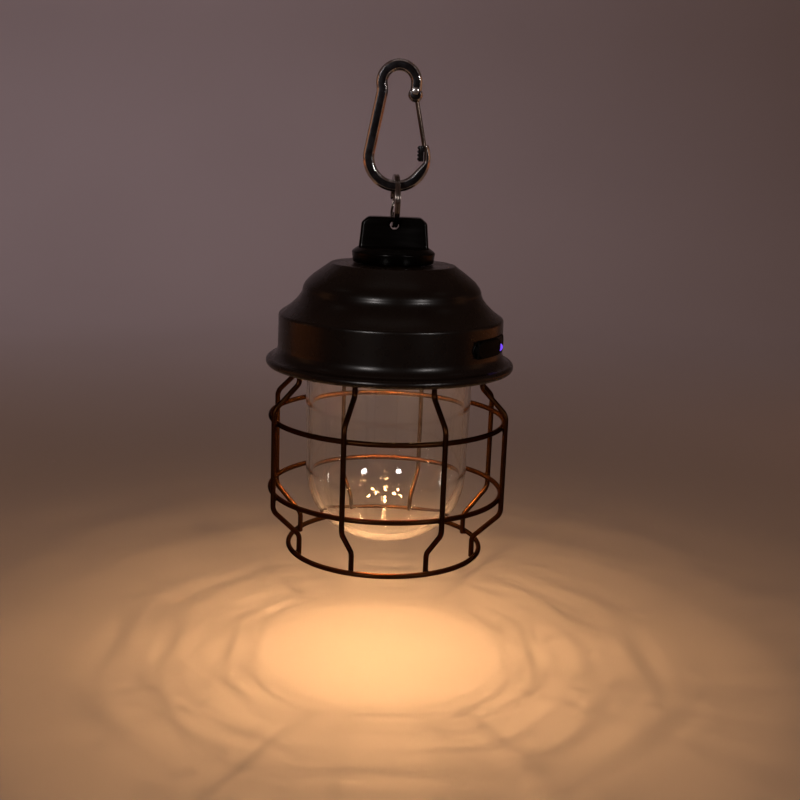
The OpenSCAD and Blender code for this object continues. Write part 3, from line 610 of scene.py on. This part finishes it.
# ------------------------------------------------------------------ knob
def build_knob():
    # skirt and hub, turned
    sk = [(0, 43.1), (11.2, 43.1)]
    sk += [(12.4, 42.98), (13.0, 42.72), (14.0, 42.05), (14.75, 41.5), (15.1, 41.18), (15.34, 40.9), (15.4, 40.6)]
    sk += [(15.34, 40.1), (15.14, 38.6), (15.0, 37.55), (14.92, 37.25), (14.74, 37.12), (14.5, 37.1), (11.2, 37.1), (11.2, 38.3), (5.0, 38.3),
           (5.0, 29.75), (4.15, 29.75), (4.15, 28.85), (5.0, 28.85), (5.0, 28.45), (4.8, 28.3), (3.04, 28.3), (3.04, 35.0), (0, 35.0)]
    o = piece("knob_skirt", *lathe(sk, 192), "knob", "knob_black", replaces=["knob"], z0=-H0, sharp=32)

    # grip fin: rounded block, wider at its foot, faces a little hollow
    def half_w(z):
        w = 12.9 - 0.85 * (z - 42) / 9.6
        # corners cut off at a slant, softened at both ends of the slant
        slant = [(51.1, 0.0), (51.4, 0.03), (51.65, 0.12), (51.85, 0.27), (52.1, 0.50), (52.5, 0.90), (52.9, 1.32), (53.25, 1.72), (53.45, 2.0), (53.58, 2.27), (53.66, 2.55), (53.7, 2.85)]
        for (za, a), (zb, b) in zip(slant, slant[1:]):
            if za < z <= zb:
                w -= a + (b - a) * (z - za) / (zb - za)
        return w

    def half_t(z):
        t = 4.8 - 1.0 * (z - 42) / 9.6
        top, r = 53.7, 1.0
        if z > top - r:
            t -= (r - sqrt(max(0.0, r * r - (z - (top - r)) ** 2)))
        return t

    zs = [41.6, 42.2, 43.0, 44, 45, 46, 47, 48, 49, 50, 50.8, 51.1, 51.4, 51.65, 51.85, 52.1, 52.5, 52.75, 52.9, 53.1, 53.25, 53.36, 53.45, 53.52, 53.58, 53.63, 53.66, 53.69, 53.7]
    rings = []
    for z in zs:
        w, t = half_w(z), half_t(z)
        if z >= 53.7:
            w, t = w - 0.02, t - 0.02
        # the foot flares into the skirt
        if z < 43.2:
            k = (43.2 - z) / 1.6
            w, t = w + 0.35 * k * k, t + 0.5 * k * k
        r = min(1.15, t * 0.42)
        ring = []
        nx = 26
        hollow = 0.42 * min(1.0, max(0.0, (53.2 - z) / 3.0)) * min(1.0, max(0.0, (z - 41.8) / 2.5))
        for s in (1, -1):
            # long face, then the rounded end
            for i in range(nx + 1):
                x = (w - r) * (1 - 2 * i / nx) * s
                e = 1 - (x / (w - r)) ** 2
                y = -s * (t - hollow * e * e)
                ring.append((x, y, z))
            for i in range(1, 8):
                a = -pi / 2 - (pi / 2) * i / 8
                ring.append((s * (-(w - r) + r * cos(a)), s * (-(t - r) + r * sin(a)), z))
            ring.append((-s * w, -s * (t - r), z))
            for i in range(1, 6):
                ring.append((-s * w, -s * (t - r) * (1 - 2 * i / 6), z))
            ring.append((-s * w, s * (t - r), z))
            for i in range(1, 8):
                a = (pi / 2) * i / 8
                ring.append((-s * (w - r + r * cos(a)), s * (t - r + r * sin(a)), z))
        rings.append(ring)
    v, f = loft(rings)
    fin = piece("knob_fin", v, f, "knob", "knob_black", replaces=["knob"], z0=-H0, sharp=32)
    # eye for the ring, with softened mouths
    prof = [(0, -7), (2.6, -7), (2.6, -4.55), (2.1, -4.05), (1.78, -3.6), (1.64, -3.1), (1.6, -2.6), (1.6, 2.6), (1.64, 3.1), (1.78, 3.6), (2.1, 4.05), (2.6, 4.55), (2.6, 7), (0, 7)]
    v, f = ylathe(prof, 48, z=50.7)
    cut(fin, v, f, z0=-H0, sharp=40)
    for s in (1, -1):
        rg = []
        for y, r in ((1.0, 1.45), (2.0, 1.8625), (3.0, 2.275), (3.6, 2.5225), (4.2, 2.77), (5.0, 3.1)):
            rg.append([(r * cos(2 * pi * i / 40), s * y, 50.7 + max(-0.48, r * sin(2 * pi * i / 40))) for i in range(40)])
        v, f = loft(rg)
        cut(fin, v, f, z0=-H0, sharp=40)
    return fin


build_knob()


# ------------------------------------------------------------------ carabiner
BOW = -26.3


def bar_section(I, O, chy=0.9, chx=0.8, ht=1.8, rad=0.42, n=3):
    """Bevelled section between an inner and an outer point of the XZ plane."""
    I, O = Vector(I), Vector(O)
    W = (O - I).length
    e = (O - I) / W
    w = W / 2
    cx = min(chx, w * 0.75)
    mid = (I + O) / 2
    pts = [(-w, -chy), (-(w - cx), -ht), (w - cx, -ht), (w, -chy), (w, chy), (w - cx, ht), (-(w - cx), ht), (-w, chy)]
    out = rounded(pts, min(rad, w * 0.4), n)
    return [(mid[0] + e[0] * a, b, mid[1] + e[1] * a) for a, b in out]


def paint_bevel_highlight(o):
    """Faces that lean between the flats and the rims get the lighter bevel metal, a painted highlight."""
    for p in o.data.polygons:
        ny = abs(p.normal.y)
        p.material_index = 1 if 0.34 < ny < 0.94 else 0


def build_carabiner():
    hook, half, bow, wr = 6.25, 2.05, 10.2, 7.0
    sa = math.radians(10.8)
    wb = 2 * pi - math.acos(-(bow + wr - 26.3 * sin(sa)) / (hook + wr)) - sa
    wc = Vector(((hook + wr) * cos(wb), (hook + wr) * sin(wb)))
    st = []
    # the right leg, from the lobe up
    for i in range(5):
        t = i / 4
        c = Vector((hook - 0.3 * (1 - t), -4.0 * (1 - t)))
        st.append((c + Vector((-half, 0)), c + Vector((half, 0))))
    n = 64
    for i in range(1, n + 1):
        a = wb * i / n
        d = Vector((cos(a), sin(a)))
        st.append((d * (hook - half), d * (hook + half)))
    a0, a1 = wb - pi, -sa
    for i in range(1, 13):
        a = a0 + (a1 - a0) * i / 12
        d = Vector((cos(a), sin(a)))
        st.append((wc + d * (wr + half), wc + d * (wr - half)))
    L = Vector((0, BOW))
    foot_dir = Vector((-cos(sa), sin(sa)))
    top_i, top_o = st[-1]
    for i in range(1, 13):
        t = i / 12
        st.append((top_i.lerp(L + foot_dir * (bow - half), t), top_o.lerp(L + foot_dir * (bow + half), t)))
    p, q = Vector((8.15 * cos(math.radians(-44)), 8.15 * sin(math.radians(-44)))), Vector((9.9, -1.3))
    b0, b1 = pi - sa, math.radians(382)
    n = 130
    for i in range(1, n + 1):
        a = b0 + (b1 - b0) * i / n
        d = Vector((cos(a), sin(a)))
        ri = bow - half
        deg = math.degrees(a) - 360
        if deg > -44:
            e = q - p
            den = d[0] * e[1] - d[1] * e[0]
            r1 = (p[0] * e[1] - p[1] * e[0]) / den
            r2 = 9.9 / d[0] if d[0] > 0.1 else 0
            if deg < math.degrees(math.atan2(-1.3, 9.9)):
                ri = max(ri, r1)
            else:
                ri = max(ri, r2)
        st.append((L + d * ri, L + d * (bow + half)))
    rings = [bar_section(I, O) for I, O in st]
    # the nose closes with a small rounded tip
    I, O = st[-1]
    d = Vector((-sin(b1), cos(b1)))
    for k, s in ((0.16, 0.97), (0.34, 0.86), (0.45, 0.68), (0.50, 0.45)):
        c = (I + O) / 2
        a, b = c + (I - c) * s + d * k, c + (O - c) * s + d * k
        rings.append(bar_section(a, b, chy=0.9 * s, chx=0.5 * s, ht=1.8 * s, rad=0.3 * s))
    o = piece("carabiner_bar", *loft(rings), "carabiner", "body_gunmetal", replaces=["carabiner_frame"], sharp=24, mats=[S["body_gunmetal"], S["edge_polished"]])
    paint_bevel_highlight(o)
    # lobe round the rivet
    lp = [(0, -1.8), (1.72, -1.8), (1.86, -1.76), (1.98, -1.66), (2.5, -1.04), (2.58, -0.92), (2.6, -0.8), (2.6, 0.8), (2.58, 0.92), (2.5, 1.04), (1.98, 1.66), (1.86, 1.76), (1.72, 1.8), (0, 1.8)]
    lobe = piece("carabiner_lobe", *ylathe(lp, 72, x=5.95, z=-4.0), "carabiner", "body_gunmetal", replaces=["carabiner_frame"], sharp=24, mats=[S["body_gunmetal"], S["edge_polished"]])
    paint_bevel_highlight(lobe)
    slot = box(1.5, 10.5, -0.85, 0.85, -9, -0.35)
    for k in (o, lobe):
        cut(k, *slot, sharp=24)
    cut(o, *box(9.0, 11.1, -0.95, 0.95, BOW + 1.7, BOW + 7.7), sharp=24)
    return o


build_carabiner()


def build_gate():
    lean = math.radians(11.5)
    # hub, rod and the pinched neck between them
    hub = ylathe([(0.86, -0.55), (0.93, -0.7), (1.75, -0.7), (1.9, -0.55), (1.9, 0.55), (1.75, 0.7), (1.6, 0.7), (1.6, 0.0), (0.93, 0.0), (0.86, -0.05)], 64, closed=True)
    rod = tube([(0, 0, -1.25), (0, 0, -1.7), (0, 0, -2.4), (0, 0, -6), (0, 0, -12), (0, 0, -17), (0, 0, -21.3)],
               [0.68, 0.80, 0.77, 0.77, 0.77, 0.77, 0.77], 28, round_ends=(False, True))
    v, f = merged([hub, rod])
    v = [roty(-lean, p) for p in v]
    v = [(p[0] + 5.9, p[1], p[2] - 2.73) for p in v]
    piece("gate_rod", v, f, "gate", "gate_metal", replaces=["carabiner_gate"], sharp=40)
    # thumb block with four ribs
    out = rounded([(7.82, -1.0), (8.4, -1.68), (9.3, -1.68), (9.7, -1.3), (9.7, 1.3), (9.3, 1.68), (8.4, 1.68), (7.82, 1.0)], 0.25, 3)
    zs = [(-27.4, 0.86), (-27.36, 0.93), (-27.26, 0.98), (-27.1, 1.0), (-26.0, 1), (-24.8, 1), (-23.6, 1), (-22.1, 1), (-21.94, 0.98), (-21.84, 0.93), (-21.8, 0.86)]
    rings = [[(8.76 + (x - 8.76) * s, y * s, z) for x, y in out] for z, s in zs]
    parts = [loft(rings)]
    for i in range(4):
        z = BOW - 1.1 + 0.35 + 1.3 * i + 0.55
        sec = [(-0.34 * cos(t), 0.52 * sin(t)) for t in [(-pi / 2) + pi * j / 10 for j in range(11)]] + [(0.3, 0.52), (0.3, -0.52)]
        rg = []
        for y, s in ((-1.12, 0.25), (-1.08, 0.62), (-0.98, 0.88), (-0.82, 1.0), (0, 1.0), (0.82, 1.0), (0.98, 0.88), (1.08, 0.62), (1.12, 0.25)):
            rg.append([(7.72 + (a if a > 0 else a * s), y, z + b * (0.4 + 0.6 * s)) for a, b in sec])
        parts.append(loft(rg))
    piece("gate_thumb_block", *merged(parts), "gate", "body_gunmetal", replaces=["gate_catch"], sharp=35)


build_gate()


def build_rivet_and_spring():
    prof = [(0, -2.1), (0.5, -2.09), (0.9, -2.04), (1.15, -1.96), (1.3, -1.88), (1.35, -1.81), (1.33, -1.79), (0.8, -1.79),
            (0.8, 1.79), (1.33, 1.79), (1.35, 1.81), (1.3, 1.88), (1.15, 1.96), (0.9, 2.04), (0.5, 2.09), (0, 2.1)]
    piece("gate_rivet_pin", *ylathe(prof, 48, x=5.9, z=-2.73), "carabiner", "rivet_steel", replaces=["gate_rivet"], sharp=35)
    path = []
    turns, n = 2.0, 64
    for i in range(n + 1):
        a = -pi / 2 - 2 * pi * turns * i / n
        y = 0.22 + 0.30 * i / n
        path.append((5.9 + 1.24 * cos(a), y, -2.73 + 1.24 * sin(a)))
    piece("gate_spring_coil", *tube(path, 0.13, 10), "carabiner", "screw_steel", replaces=["gate_spring"], sharp=60)


build_rivet_and_spring()


def build_split_ring():
    zc, r_in, r_out = -41.9, 7.7, 9.7
    rings = []
    step = math.radians(75)
    n = 240
    a0, a1 = math.radians(17), math.radians(703)
    sec = rounded([(-0.47, -1.0), (0.47, -1.0), (0.47, 1.0), (-0.47, 1.0)], 0.24, 4)
    for i in range(n + 1):
        a = a0 + (a1 - a0) * i / n
        t = (a - math.radians(342)) / math.radians(36)
        t = min(1.0, max(0.0, t))
        t = t * t * (3 - 2 * t)
        x = -0.5 + t
        # blunt, slightly tapered ends
        e = min(1.0, 0.72 + 0.28 * min(a - a0, a1 - a) / math.radians(5))
        w = a + step
        rm = (r_in + r_out) / 2
        rings.append([(x + sx * 1.0 * e, (rm + sr * e) * sin(w), zc - (rm + sr * e) * cos(w)) for sx, sr in sec])
    v, f = loft(rings)
    yaw = math.radians(6)
    v = [rotz(yaw, p) for p in v]
    piece("split_ring_coils", v, f, "ring", "ring_steel", replaces=["split_ring"], sharp=30)


build_split_ring()


# ------------------------------------------------------------------ cage
WR = 0.97
RIB_A = math.radians(26.2)


def rib_path():
    T = math.tan(pi / 8)
    z1 = -6.8
    z2, z3 = z1 - 9.6, -54.4
    z4 = z3 - 10.6
    b1, b2, b3, b4 = 3.0, 5.0, 5.0, 4.0
    p = [(36.4, -1.15), (36.4, -2.5)]
    p += arc(36.4 + b1, z1 + b1 * T, b1, pi, pi * 1.25, 10)
    p += arc(46 - b2, z2 - b2 * T, b2, pi / 4, 0, 12)
    p += [(46.0, -30.0), (46.0, -42.0)]
    p += arc(46 - b3, z3 + b3 * T, b3, 0, -pi / 4, 12)
    p += arc(35.4 + b4, z4 - b4 * T, b4, pi * 0.75, pi, 12)
    p += [(35.4, -69.5), (35.4, -71.5), (35.4, -72.6)]
    return p


def build_cage():
    base = tube([(r, 0, z) for r, z in rib_path()], WR, 20, round_ends=(False, True))
    parts = []
    for i in range(8):
        a = RIB_A - pi / 2 + pi / 4 * i
        parts.append(moved(base, lambda x, y, z, a=a: rotz(a, (x, y, z))))
    piece("cage_rib_wires", *merged(parts), "lamp", "cage_paint", replaces=["cage_ribs"], z0=-H0, sharp=60)
    for name, node, r, z in (("cage_upper_hoop_wire", "cage_hoop_upper", 44.3, -21.5), ("cage_lower_hoop_wire", "cage_hoop_lower", 44.3, -49.5), ("cage_foot_hoop_wire", "cage_hoop_foot", 37.05, -72.15)):
        n = 256
        path = [(r * cos(2 * pi * i / n), r * sin(2 * pi * i / n), z) for i in range(n)]
        # a faint swelling where the hoop's ends are butt welded, at the back
        rad = []
        for i in range(n):
            d = abs((2 * pi * i / n - math.radians(97) + pi) % (2 * pi) - pi) * r
            rad.append(WR + 0.14 * math.exp(-(d / 0.7) ** 2))
        piece(name, *tube(path, rad, 20, closed=True), "lamp", "cage_paint", replaces=[node], z0=-H0, sharp=60)
    beads = []
    k = 0
    for i in range(8):
        a = RIB_A - pi / 2 + pi / 4 * i
        for r, z, s in ((45.15, -21.5, 1), (45.15, -49.5, 1), (36.22, -72.15, -1)):
            k += 1
            beads.append(lumpy((r * cos(a), r * sin(a), z), (0.42, 1.15, 1.15), k, 0.35, 3, a))
            # squeezed-out flash beside the crossing
            for t in (-1, 1):
                q = rotz(a, (r - 0.1 * s, t * (0.75 + 0.15 * noise.noise(Vector((k, t, 0)))), 0))
                beads.append(lumpy((q[0], q[1], z + 0.5 * noise.noise(Vector((k, t, 3)))), (0.34, 0.5, 0.42), k + 50 * t, 0.4, 2, a))
        # fillet where the rib meets the ring under the cap
        beads.append(lumpy((36.4 * cos(a), 36.4 * sin(a), -1.72), (1.35, 1.35, 0.42), k + 7, 0.3, 3, a))
    piece("cage_weld_beads", *merged(beads), "lamp", "cage_paint", z0=-H0, sharp=60)


build_cage()


# ------------------------------------------------------------------ globe
def build_globe():
    t, low, z1, e = 2.2, -68.9, -38.9, 2.4

    def wall_r(z):
        # the neck is a trace wider than the straight wall
        k = min(1.0, max(0.0, (-14.0 - z) / 20.0))
        k = k * k * (3 - 2 * k)
        return 31.3 - 0.5 * k

    n = 48
    outer = [(wall_r(z), z) for z in [-1.6, -3, -6, -10, -14, -18, -22, -26, -30, -34, -37]]
    for i in range(n + 1):
        a = pi / 2 * i / n
        r = 0.0 if i == n else 30.8 * cos(a) ** (2 / e)
        outer.append((r, z1 - (z1 - low) * sin(a) ** (2 / e)))
    inner = [(wall_r(z) - t, z) for z in [0.9, -1.6, -3, -6, -10, -14, -18, -22, -26, -30, -34, -37]]
    for i in range(n + 1):
        a = pi / 2 * i / n
        r = 0.0 if i == n else (30.8 - t) * cos(a) ** (2 / e)
        inner.append((r, z1 - (z1 - low - t) * sin(a) ** (2 / e)))
    prof = outer[::-1] + [(31.4, -0.9), (31.6, -0.45), (31.9, -0.2), (33.7, -0.2), (33.92, -0.1), (34.0, 0.1), (34.0, 1.3), (33.92, 1.5), (33.7, 1.6), (29.6, 1.6), (29.25, 1.45)] + inner
    o = piece("globe_blown_glass", *lathe(prof, 224), "lamp", "clear_glass", replaces=["globe"], z0=-H0, sharp=60)
    o.visible_shadow = False
    return o


build_globe()


# ------------------------------------------------------------------ port
def wrap(v, r0):
    """(x along the band, h out of it, z) laid on a cylinder of radius r0, then turned to the port."""
    out = []
    for x, h, z in v:
        r = r0 + h
        out.append(rotz(PORT, (x, -sqrt(max(1e-6, r * r - x * x)), z)))
    return out


def stadium(hl, r, n=20):
    pts = []
    for i in range(n + 1):
        a = -pi / 2 + pi * i / n
        pts.append((hl - r + r * cos(a), r * sin(a)))
    m = 10
    for i in range(1, m):
        pts.append(((hl - r) * (1 - 2 * i / m), r))
    for i in range(n + 1):
        a = pi / 2 + pi * i / n
        pts.append((-(hl - r) + r * cos(a), r * sin(a)))
    for i in range(1, m):
        pts.append((-(hl - r) * (1 - 2 * i / m), -r))
    return pts


def pillow(cx, hl, r, levels, cap_rings=5, cz=9.9):
    """Closed slab with a stadium outline. levels are (inset, h) from the back up to the rim; the top is closed by shrinking rings."""
    rings = []
    inset, h = levels[0]
    for i in range(cap_rings - 1, 0, -1):
        s = 1 - i / cap_rings
        rings.append([(cx + x * (hl - inset - (r - inset) * (1 - s)) / (hl - inset), h, cz + z * s) for x, z in stadium(hl - inset, r - inset)])
    for inset, h in levels:
        rings.append([(cx + x, h, cz + z) for x, z in stadium(hl - inset, r - inset)])
    inset, h = levels[-1]
    for i in range(1, cap_rings):
        s = 1 - i / cap_rings
        rings.append([(cx + x * (hl - inset - (r - inset) * (1 - s)) / (hl - inset), h, cz + z * s) for x, z in stadium(hl - inset, r - inset)])
    return rings


def build_port():
    # bezel: back skirt, proud rim, hollowed field and the socket's mouth
    lv = [(0.5, -1.6), (0.45, 0.0), (0.0, 0.04), (0.0, 0.2), (0.06, 0.32), (0.18, 0.4), (0.30, 0.4), (0.38, 0.36), (0.46, 0.25), (0.55, 0.2)]
    rings = pillow(2.4, 13.0, 3.4, lv)
    v, f = loft(rings)
    o = piece("port_bezel_moulding", wrap(v, 42.1), f, "lamp", "trim_plastic", replaces=["port_bezel"], z0=-H0, sharp=35)
    vv, ff = extruded_y([(x, z + 9.9) for x, z in stadium(4.75, 1.9)], -46, -34)
    cut(o, [rotz(PORT, p) for p in vv], ff, z0=-H0, sharp=35)
    ring = [(10.2 + 1.45 * cos(2 * pi * i / 32), 8.7 + 1.45 * sin(2 * pi * i / 32)) for i in range(32)]
    vv, ff = extruded_y(ring, -46, -34)
    cut(o, [rotz(PORT, p) for p in vv], ff, z0=-H0, sharp=35)

    # cover: pad with a rounded rim, finger lip, and the plug on its back
    hl, r, cx = 8.1, 3.1, -1.2
    lv = [(0.14, -0.35), (0.03, -0.31), (0.0, -0.2), (0.0, 0.14), (0.04, 0.24), (0.12, 0.31), (0.24, 0.35), (0.8, 0.35), (0.95, 0.31), (1.05, 0.29)]
    rings = pillow(cx, hl, r, lv)
    a = moved(loft(rings), lambda x, h, z: (x, h, z))
    cover = (wrap(a[0], 43.0), a[1])
    tab = []
    for x, s in ((5.0, 0.35), (5.25, 0.75), (5.6, 0.95), (6.0, 1.0), (6.3, 0.92), (6.55, 0.7), (6.7, 0.35)):
        tab.append([(x, 0.30 + 0.05 * s + 0.10 * s * sin(t) if sin(t) > 0 else 0.25, 9.9 + 1.7 * s * cos(t)) for t in [2 * pi * j / 24 for j in range(24)]])
    tv, tf = loft(tab)
    tongue = []
    for y, s in ((-42.75, 1.0), (-41.6, 1.0), (-41.0, 0.97), (-40.8, 0.9), (-40.7, 0.75)):
        tongue.append([rotz(PORT, (x * s, y, 9.9 + z * s)) for x, z in stadium(3.8, 0.95)])
    hinge = []
    hy = -sqrt(43.0 ** 2 - 81.0)
    for z, s in ((-3.05, 0.8), (-3.0, 1.0), (-1.5, 1.0), (0, 1.0), (1.5, 1.0), (3.0, 1.0), (3.05, 0.8)):
        hinge.append([rotz(PORT, (-9.0 + 0.36 * s * cos(2 * pi * j / 20), hy + 0.36 * s * sin(2 * pi * j / 20), 9.9 + z)) for j in range(20)])
    parts = [cover, (wrap(tv, 43.0), tf), loft(tongue), loft(hinge)]
    piece("port_cover_pad", *merged(parts), "flap", "flap_rubber", replaces=["port_flap"], z0=-H0, sharp=35)

    # indicator: domed light pipe
    prof = [(0, 42.56), (0.5, 42.55), (0.9, 42.5), (1.2, 42.4), (1.36, 42.22), (1.4, 42.0), (1.4, 37.3), (0, 37.3)]
    v, f = lathe(prof, 48)
    lean = math.asin(10.2 / 42.6)
    v = [(10.2 + p[0], -(p[2] - (42.6 - 42.6 * cos(lean)) + (0 if p[2] < 40 else p[0] * math.tan(lean))), 8.7 + p[1]) for p in v]
    v = [rotz(PORT, p) for p in v]
    piece("indicator_light_pipe", v, f, "lamp", "lens_clear", replaces=["indicator_lens"], z0=-H0, sharp=50)


build_port()


# ------------------------------------------------------------------ light
def build_chips():
    body, glow = [], []
    for cr, a in CHIPS:
        out = rounded([(-1.75, -1.4), (1.75, -1.4), (1.75, 1.4), (-1.75, 1.4)], 0.18, 3)
        inn = rounded([(-1.4, -1.05), (1.4, -1.05), (1.4, 1.05), (-1.4, 1.05)], 0.45, 3)
        rings = [[(x, y, 0.7) for x, y in out], [(x, y, 0.05) for x, y in out], [(x * 0.985, y * 0.985, -0.06) for x, y in out], [(x * 0.94, y * 0.93, -0.1) for x, y in out],
                 [(x, y, -0.1) for x, y in inn], [(x * 0.93, y * 0.91, 0.12) for x, y in inn]]
        v, f = loft(rings)
        body.append(([rotz(a, (x + cr, y, z)) for x, y, z in v], f))
        rings = [[(x * 0.95, y * 0.94, 0.1) for x, y in inn], [(x * 0.95, y * 0.94, -0.02) for x, y in inn], [(x * 0.8, y * 0.78, -0.06) for x, y in inn], [(x * 0.4, y * 0.4, -0.08) for x, y in inn]]
        v, f = loft(rings)
        glow.append(([rotz(a, (x + cr, y, z)) for x, y, z in v], f))
    piece("light_chip_bodies", *merged(body), "lamp", "light_chip", replaces=["led_chips"], mats=[S["chip_ceramic"]], z0=-H0, sharp=30)
    piece("light_chip_phosphor", *merged(glow), "lamp", "light_chip", z0=-H0, sharp=40)


build_chips()

# ------------------------------------------------------------------ carried-over CAD nodes
slots = {s["node"]: s["material_slot"] for s in frame["record"]["subparts"]}
for n, o in NODES.items():
    m = S[slots[n]]
    if len(o.material_slots) == 0:
        o.data.materials.append(m)
    for s in o.material_slots:
        s.material = m


# ------------------------------------------------------------------ floor, lights
def build_stage():
    zf, r, back, front, side = -0.219, 0.35, 1.15, -1.6, 1.8
    prof = [(front, zf), (-0.6, zf), (0.0, zf), (back - r, zf)]
    for i in range(1, 17):
        a = -pi / 2 + (pi / 2) * i / 16
        prof.append((back - r + r * cos(a), zf + r + r * sin(a)))
    prof += [(back, 0.6), (back, 1.6)]
    verts, faces = [], []
    for y, z in prof:
        verts += [(-side, y, z), (side, y, z)]
    for i in range(len(prof) - 1):
        faces.append([2 * i, 2 * i + 1, 2 * i + 3, 2 * i + 2])
    me = bpy.data.meshes.new("floor_sweep")
    me.from_pydata(verts, [], faces)
    o = bpy.data.objects.new("floor_sweep", me)
    bpy.context.scene.collection.objects.link(o)
    o.data.shade_smooth()
    m = Mat("floor_pale", Roughness=0.7, IOR=1.45)
    m.set(Specular_IOR_Level=0.25)
    m.to("Base Color", m.ramp(m.noise(3.0, 2), [(0.3, (0.57, 0.535, 0.505)), (0.7, (0.61, 0.575, 0.545))]))
    me.materials.append(m.m)


build_stage()


def area(name, loc, aim, size, power, color, spread=180, shape="RECTANGLE"):
    d = bpy.data.lights.new(name, "AREA")
    d.shape = shape
    d.size, d.size_y = size
    d.energy, d.color = power, color
    d.spread = math.radians(spread)
    o = bpy.data.objects.new(name, d)
    bpy.context.scene.collection.objects.link(o)
    o.location = loc
    o.rotation_mode = "QUATERNION"
    o.rotation_quaternion = (Vector(aim) - Vector(loc)).to_track_quat("-Z", "Y")
    o.visible_camera = False
    return o


C = Vector((0.0, 0.0, -0.085))


def around(az, el, d):
    """A place seen from the object's middle: azimuth from the camera's side towards +X, elevation, distance."""
    az, el = math.radians(az), math.radians(el)
    return C + Vector((sin(az) * cos(el), -cos(az) * cos(el), sin(el))) * d


# two upright soft panels a little to the left and to the right of the camera, one big soft panel overhead
left = area("softbox_left", around(-22, 17, 1.45), C, (0.17, 0.16), 0.92, (1.0, 0.93, 0.91), spread=70)
right = area("softbox_right", around(38, 17, 1.45), C, (0.16, 0.16), 0.64, (1.0, 0.93, 0.91), spread=70)
left.visible_diffuse = right.visible_diffuse = False   # they only make highlights; the warm light is the lamp's
fill = area("overhead", (0.0, -0.35, 1.1), (0, -0.3, -0.2), (1.6, 0.8), 0.85, (1.0, 0.60, 0.34), spread=110)
fill.visible_glossy = False
area("overhead_small", (0.0, 0.10, 1.3), (0, 0.05, -0.1), (0.9, 0.35), 0.15, (1.0, 0.90, 0.87))
# the backdrop's own light, kept off the floor around the lantern
wash = area("backdrop_wash", (-0.5, 0.38, 1.0), (-0.45, 1.15, 0.05), (1.4, 0.3), 0.92, (1.0, 0.82, 1.0), spread=90)
wash.visible_glossy = False
# small panels high at both sides, for the bevels
area("high_left", around(-88, 48, 1.25), C, (0.16, 0.16), 0.03, (1.0, 0.95, 0.93))
area("high_right", around(88, 48, 1.25), C, (0.16, 0.16), 0.025, (1.0, 0.95, 0.93))
# dim warm panels at the sides, and low ones just above the floor
area("side_left", around(-92, 11, 1.25), C, (0.34, 0.5), 0.20, (1.0, 0.42, 0.18))
area("side_right", around(97, 11, 1.25), C, (0.34, 0.5), 0.18, (1.0, 0.44, 0.20))
area("low_left", (-0.60, 0.02, -0.145), (0, 0.0, -0.145), (0.46, 0.10), 0.066, (1.0, 0.25, 0.05))
area("low_right", (0.57, 0.185, -0.145), (0, 0.0, -0.145), (0.56, 0.10), 0.068, (1.0, 0.27, 0.06))

w = bpy.data.worlds.new("studio")
w.use_nodes = True
bg = w.node_tree.nodes["Background"]
bg.inputs["Color"].default_value = (1.0, 0.60, 0.50, 1)
bg.inputs["Strength"].default_value = 0.075
bpy.context.scene.world = w

sc = bpy.context.scene
sc.view_settings.view_transform = "Standard"
sc.view_settings.look = "None"
sc.view_settings.exposure = 0.0
sc.cycles.max_bounces = 14
sc.cycles.transmission_bounces = 14
sc.cycles.glossy_bounces = 6
sc.cycles.diffuse_bounces = 3
sc.cycles.caustics_reflective = False
sc.cycles.caustics_refractive = False
sc.cycles.sample_clamp_indirect = 200.0
